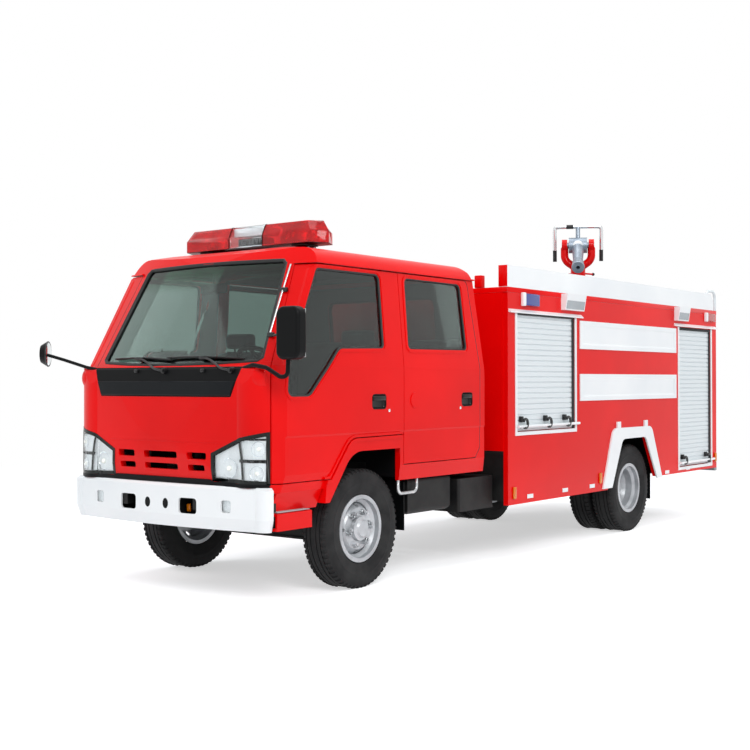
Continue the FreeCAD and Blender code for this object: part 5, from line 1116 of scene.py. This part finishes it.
# ---------- seats
# Two front seats and a rear bench: foam cushions in grey woven cloth, sewn in channels and piped round the edge, on
# black steel plinths.
SEAT_X = 0.555
# Woven cloth: dark grey, matt, with a fuzzy edge.
seat_cloth, shader = finish("grey_woven_cloth", "3c4046", 0.92, Sheen_Weight=0.3)
tint(shader, "33373c", "474b52", 40)
grain(shader, 900, 0.0008, 0.5)
# Vinyl piping: black with a low sheen.
piping, shader = finish("black_vinyl_piping", "17181a", 0.45)
grain(shader, 500, 0.0004, 0.3)


def cushion(name, low, high, channels, puff, lean=0.0):
    """A foam block that swells between its sewn channels. lean tips its top back, in metres over its height."""
    piece = block(low, high, 0.03, 3)
    piece.name = name
    bpy.ops.object.mode_set(mode="EDIT")
    upright_pad = high[2] - low[2] > high[1] - low[1]
    across = 2 if upright_pad else 1
    middle = [(a + b) / 2 for a, b in zip(low, high)]
    half = [(b - a) / 2 for a, b in zip(low, high)]
    pitch = (high[0] - low[0]) / channels
    cuts = [(0, low[0] + pitch * (k + part)) for k in range(channels) for part in (0.1, 0.3, 0.5, 0.7, 0.9)]
    cuts += [(0, low[0] + pitch * k) for k in range(1, channels)]
    cuts += [(across, middle[across] + half[across] * part) for part in (-0.8, -0.5, -0.15, 0.15, 0.5, 0.8)]
    for axis, at in cuts:
        bpy.ops.mesh.select_all(action="SELECT")
        bpy.ops.mesh.bisect(plane_co=[at] * 3, plane_no=[float(axis == k) for k in range(3)])
    bpy.ops.object.mode_set(mode="OBJECT")
    for vertex in piece.data.vertices:
        u = [max(-1.0, min(1.0, (vertex.co[k] - middle[k]) / half[k])) for k in range(3)]
        swell = (1 - u[0] ** 4) * (1 - u[across] ** 4)
        seam = sum(math.exp(-((u[0] * channels / 2 + channels / 2 - k) / 0.08) ** 2) for k in range(1, channels))
        rise = puff * swell * (1 - 0.75 * min(1.0, seam))
        if upright_pad:
            vertex.co.y += (-rise if u[1] < 0 else 0.3 * rise) + lean * (u[2] + 1) / 2
        elif u[2] > 0:
            vertex.co.z += rise
    apply_modifier(piece, "SUBSURF", levels=1, render_levels=1)
    return settle(piece, "truck", seat_cloth, 180)


for seat_x, word in ((SEAT_X, "left"), (-SEAT_X, "right")):
    x0, x1 = seat_x - 0.22, seat_x + 0.22
    made = cushion(f"front_cushion_{word}", (x0, -2.56, 1.045), (x1, -2.09, 1.165), 3, 0.022)
    if word == "left":
        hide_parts("seats")
    cushion(f"front_backrest_{word}", (x0 + 0.01, -2.165, 1.15), (x1 - 0.01, -2.06, 1.56), 3, 0.022, 0.085)
    cushion(f"front_headrest_{word}", (seat_x - 0.13, -2.075, 1.59), (seat_x + 0.13, -1.995, 1.70), 1, 0.015)
cushion("rear_cushion", (-0.80, -1.52, 1.082), (0.80, -1.11, 1.19), 6, 0.02)
cushion("rear_backrest", (-0.775, -1.16, 1.17), (0.775, -1.085, 1.66), 6, 0.018, 0.03)
plinths = [block((x - 0.19, -2.50, 0.952), (x + 0.19, -2.13, 1.047), 0.01) for x in (SEAT_X, -SEAT_X)]
plinths.append(block((-0.80, -1.4775, 0.830), (0.80, -1.0675, 1.084), 0.01))
for seat_x in (SEAT_X, -SEAT_X):
    for x in (seat_x - 0.06, seat_x + 0.06):
        plinths.append(bent_rod("post", [(x, -2.032, 1.545), (x, -2.034, 1.575), (x, -2.036, 1.60)], 0.006))
fit("seat_frames", plinths, satin_black, 40)
edges = []
for seat_x in (SEAT_X, -SEAT_X):
    x0, x1 = seat_x - 0.205, seat_x + 0.205
    edges.append(bent_rod("piping", [(x0, -2.12, 1.155), (x0, -2.53, 1.155), (x0 + 0.03, -2.558, 1.15),
                                     (x1 - 0.03, -2.558, 1.15), (x1, -2.53, 1.155), (x1, -2.12, 1.155)], 0.005))
fit("seat_piping", edges, piping, 60)

# ---------- cab fittings
# An instrument hood with two dials, a radio slot and heater knobs on the dash, a gear lever on the floor, an interior
# mirror and sun visors over the screen. All are moulded plastic.
dash_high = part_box("dashboard")[1]
# Dial faces: dark grey, smooth, with soft lighter flecks.
dial_face, shader = finish("dial_faces", "2a2d30", 0.3)
tint(shader, "1b1d20", "3d4146", 90)
hood = [block((0.25, dash_high[1] - 0.19, dash_high[2] - 0.012),
              (0.61, dash_high[1] - 0.06, dash_high[2] + 0.05), 0.02, 4),
        block((-0.12, dash_high[1] - 0.05, 1.24), (0.14, dash_high[1] + 0.006, 1.40), 0.01, 3)]
fit("instrument_hood", hood, black_abs, 40)
dials = [add_cylinder(0.042, 0.006, (x, dash_high[1] - 0.059, dash_high[2] + 0.018), "Y", 28) for x in (0.36, 0.50)]
dials.append(block((-0.09, dash_high[1] + 0.003, 1.33), (0.11, dash_high[1] + 0.009, 1.375), 0.002))
for k in range(4):
    dials.append(add_cylinder(0.013, 0.012, (-0.07 + 0.052 * k, dash_high[1] + 0.008, 1.285), "Y", 18))
fit("dials", dials, dial_face, 40)
lever = [bent_rod("lever", [(0.16, -2.70, 1.03), (0.165, -2.72, 1.12), (0.18, -2.70, 1.26)], 0.008),
         sphere(0.026, (0.181, -2.699, 1.275), (1, 1, 1.2), 20),
         block((0.10, -2.77, 1.035), (0.22, -2.64, 1.055), 0.015, 3)]
fit("gear_lever", lever, black_abs, 50)
top_at = face_of("cab_glass", (0, -6, 2.03), (0, 1, 0))
overhead = [block((-0.12, top_at.y + 0.07, 1.93), (0.12, top_at.y + 0.095, 1.995), 0.012, 3),
            bent_rod("stem", [(0, top_at.y + 0.085, 1.98), (0, top_at.y + 0.08, 2.02),
                              (0, top_at.y + 0.075, 2.06)], 0.006)]
for x in (0.38, -0.38):
    overhead.append(block((x - 0.2, top_at.y + 0.105, 2.045), (x + 0.2, top_at.y + 0.235, 2.06), 0.006, 3))
fit("interior_mirror_and_visors", overhead, dark_abs, 40)

# ---------- extents
# The extents of the imported solids and of the dressed truck are gathered in one dictionary.
boxes = {"cad": [list(cad_low), list(cad_high)]}
visual_low, visual_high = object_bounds()
boxes["visual"] = [list(visual_low), list(visual_high)]
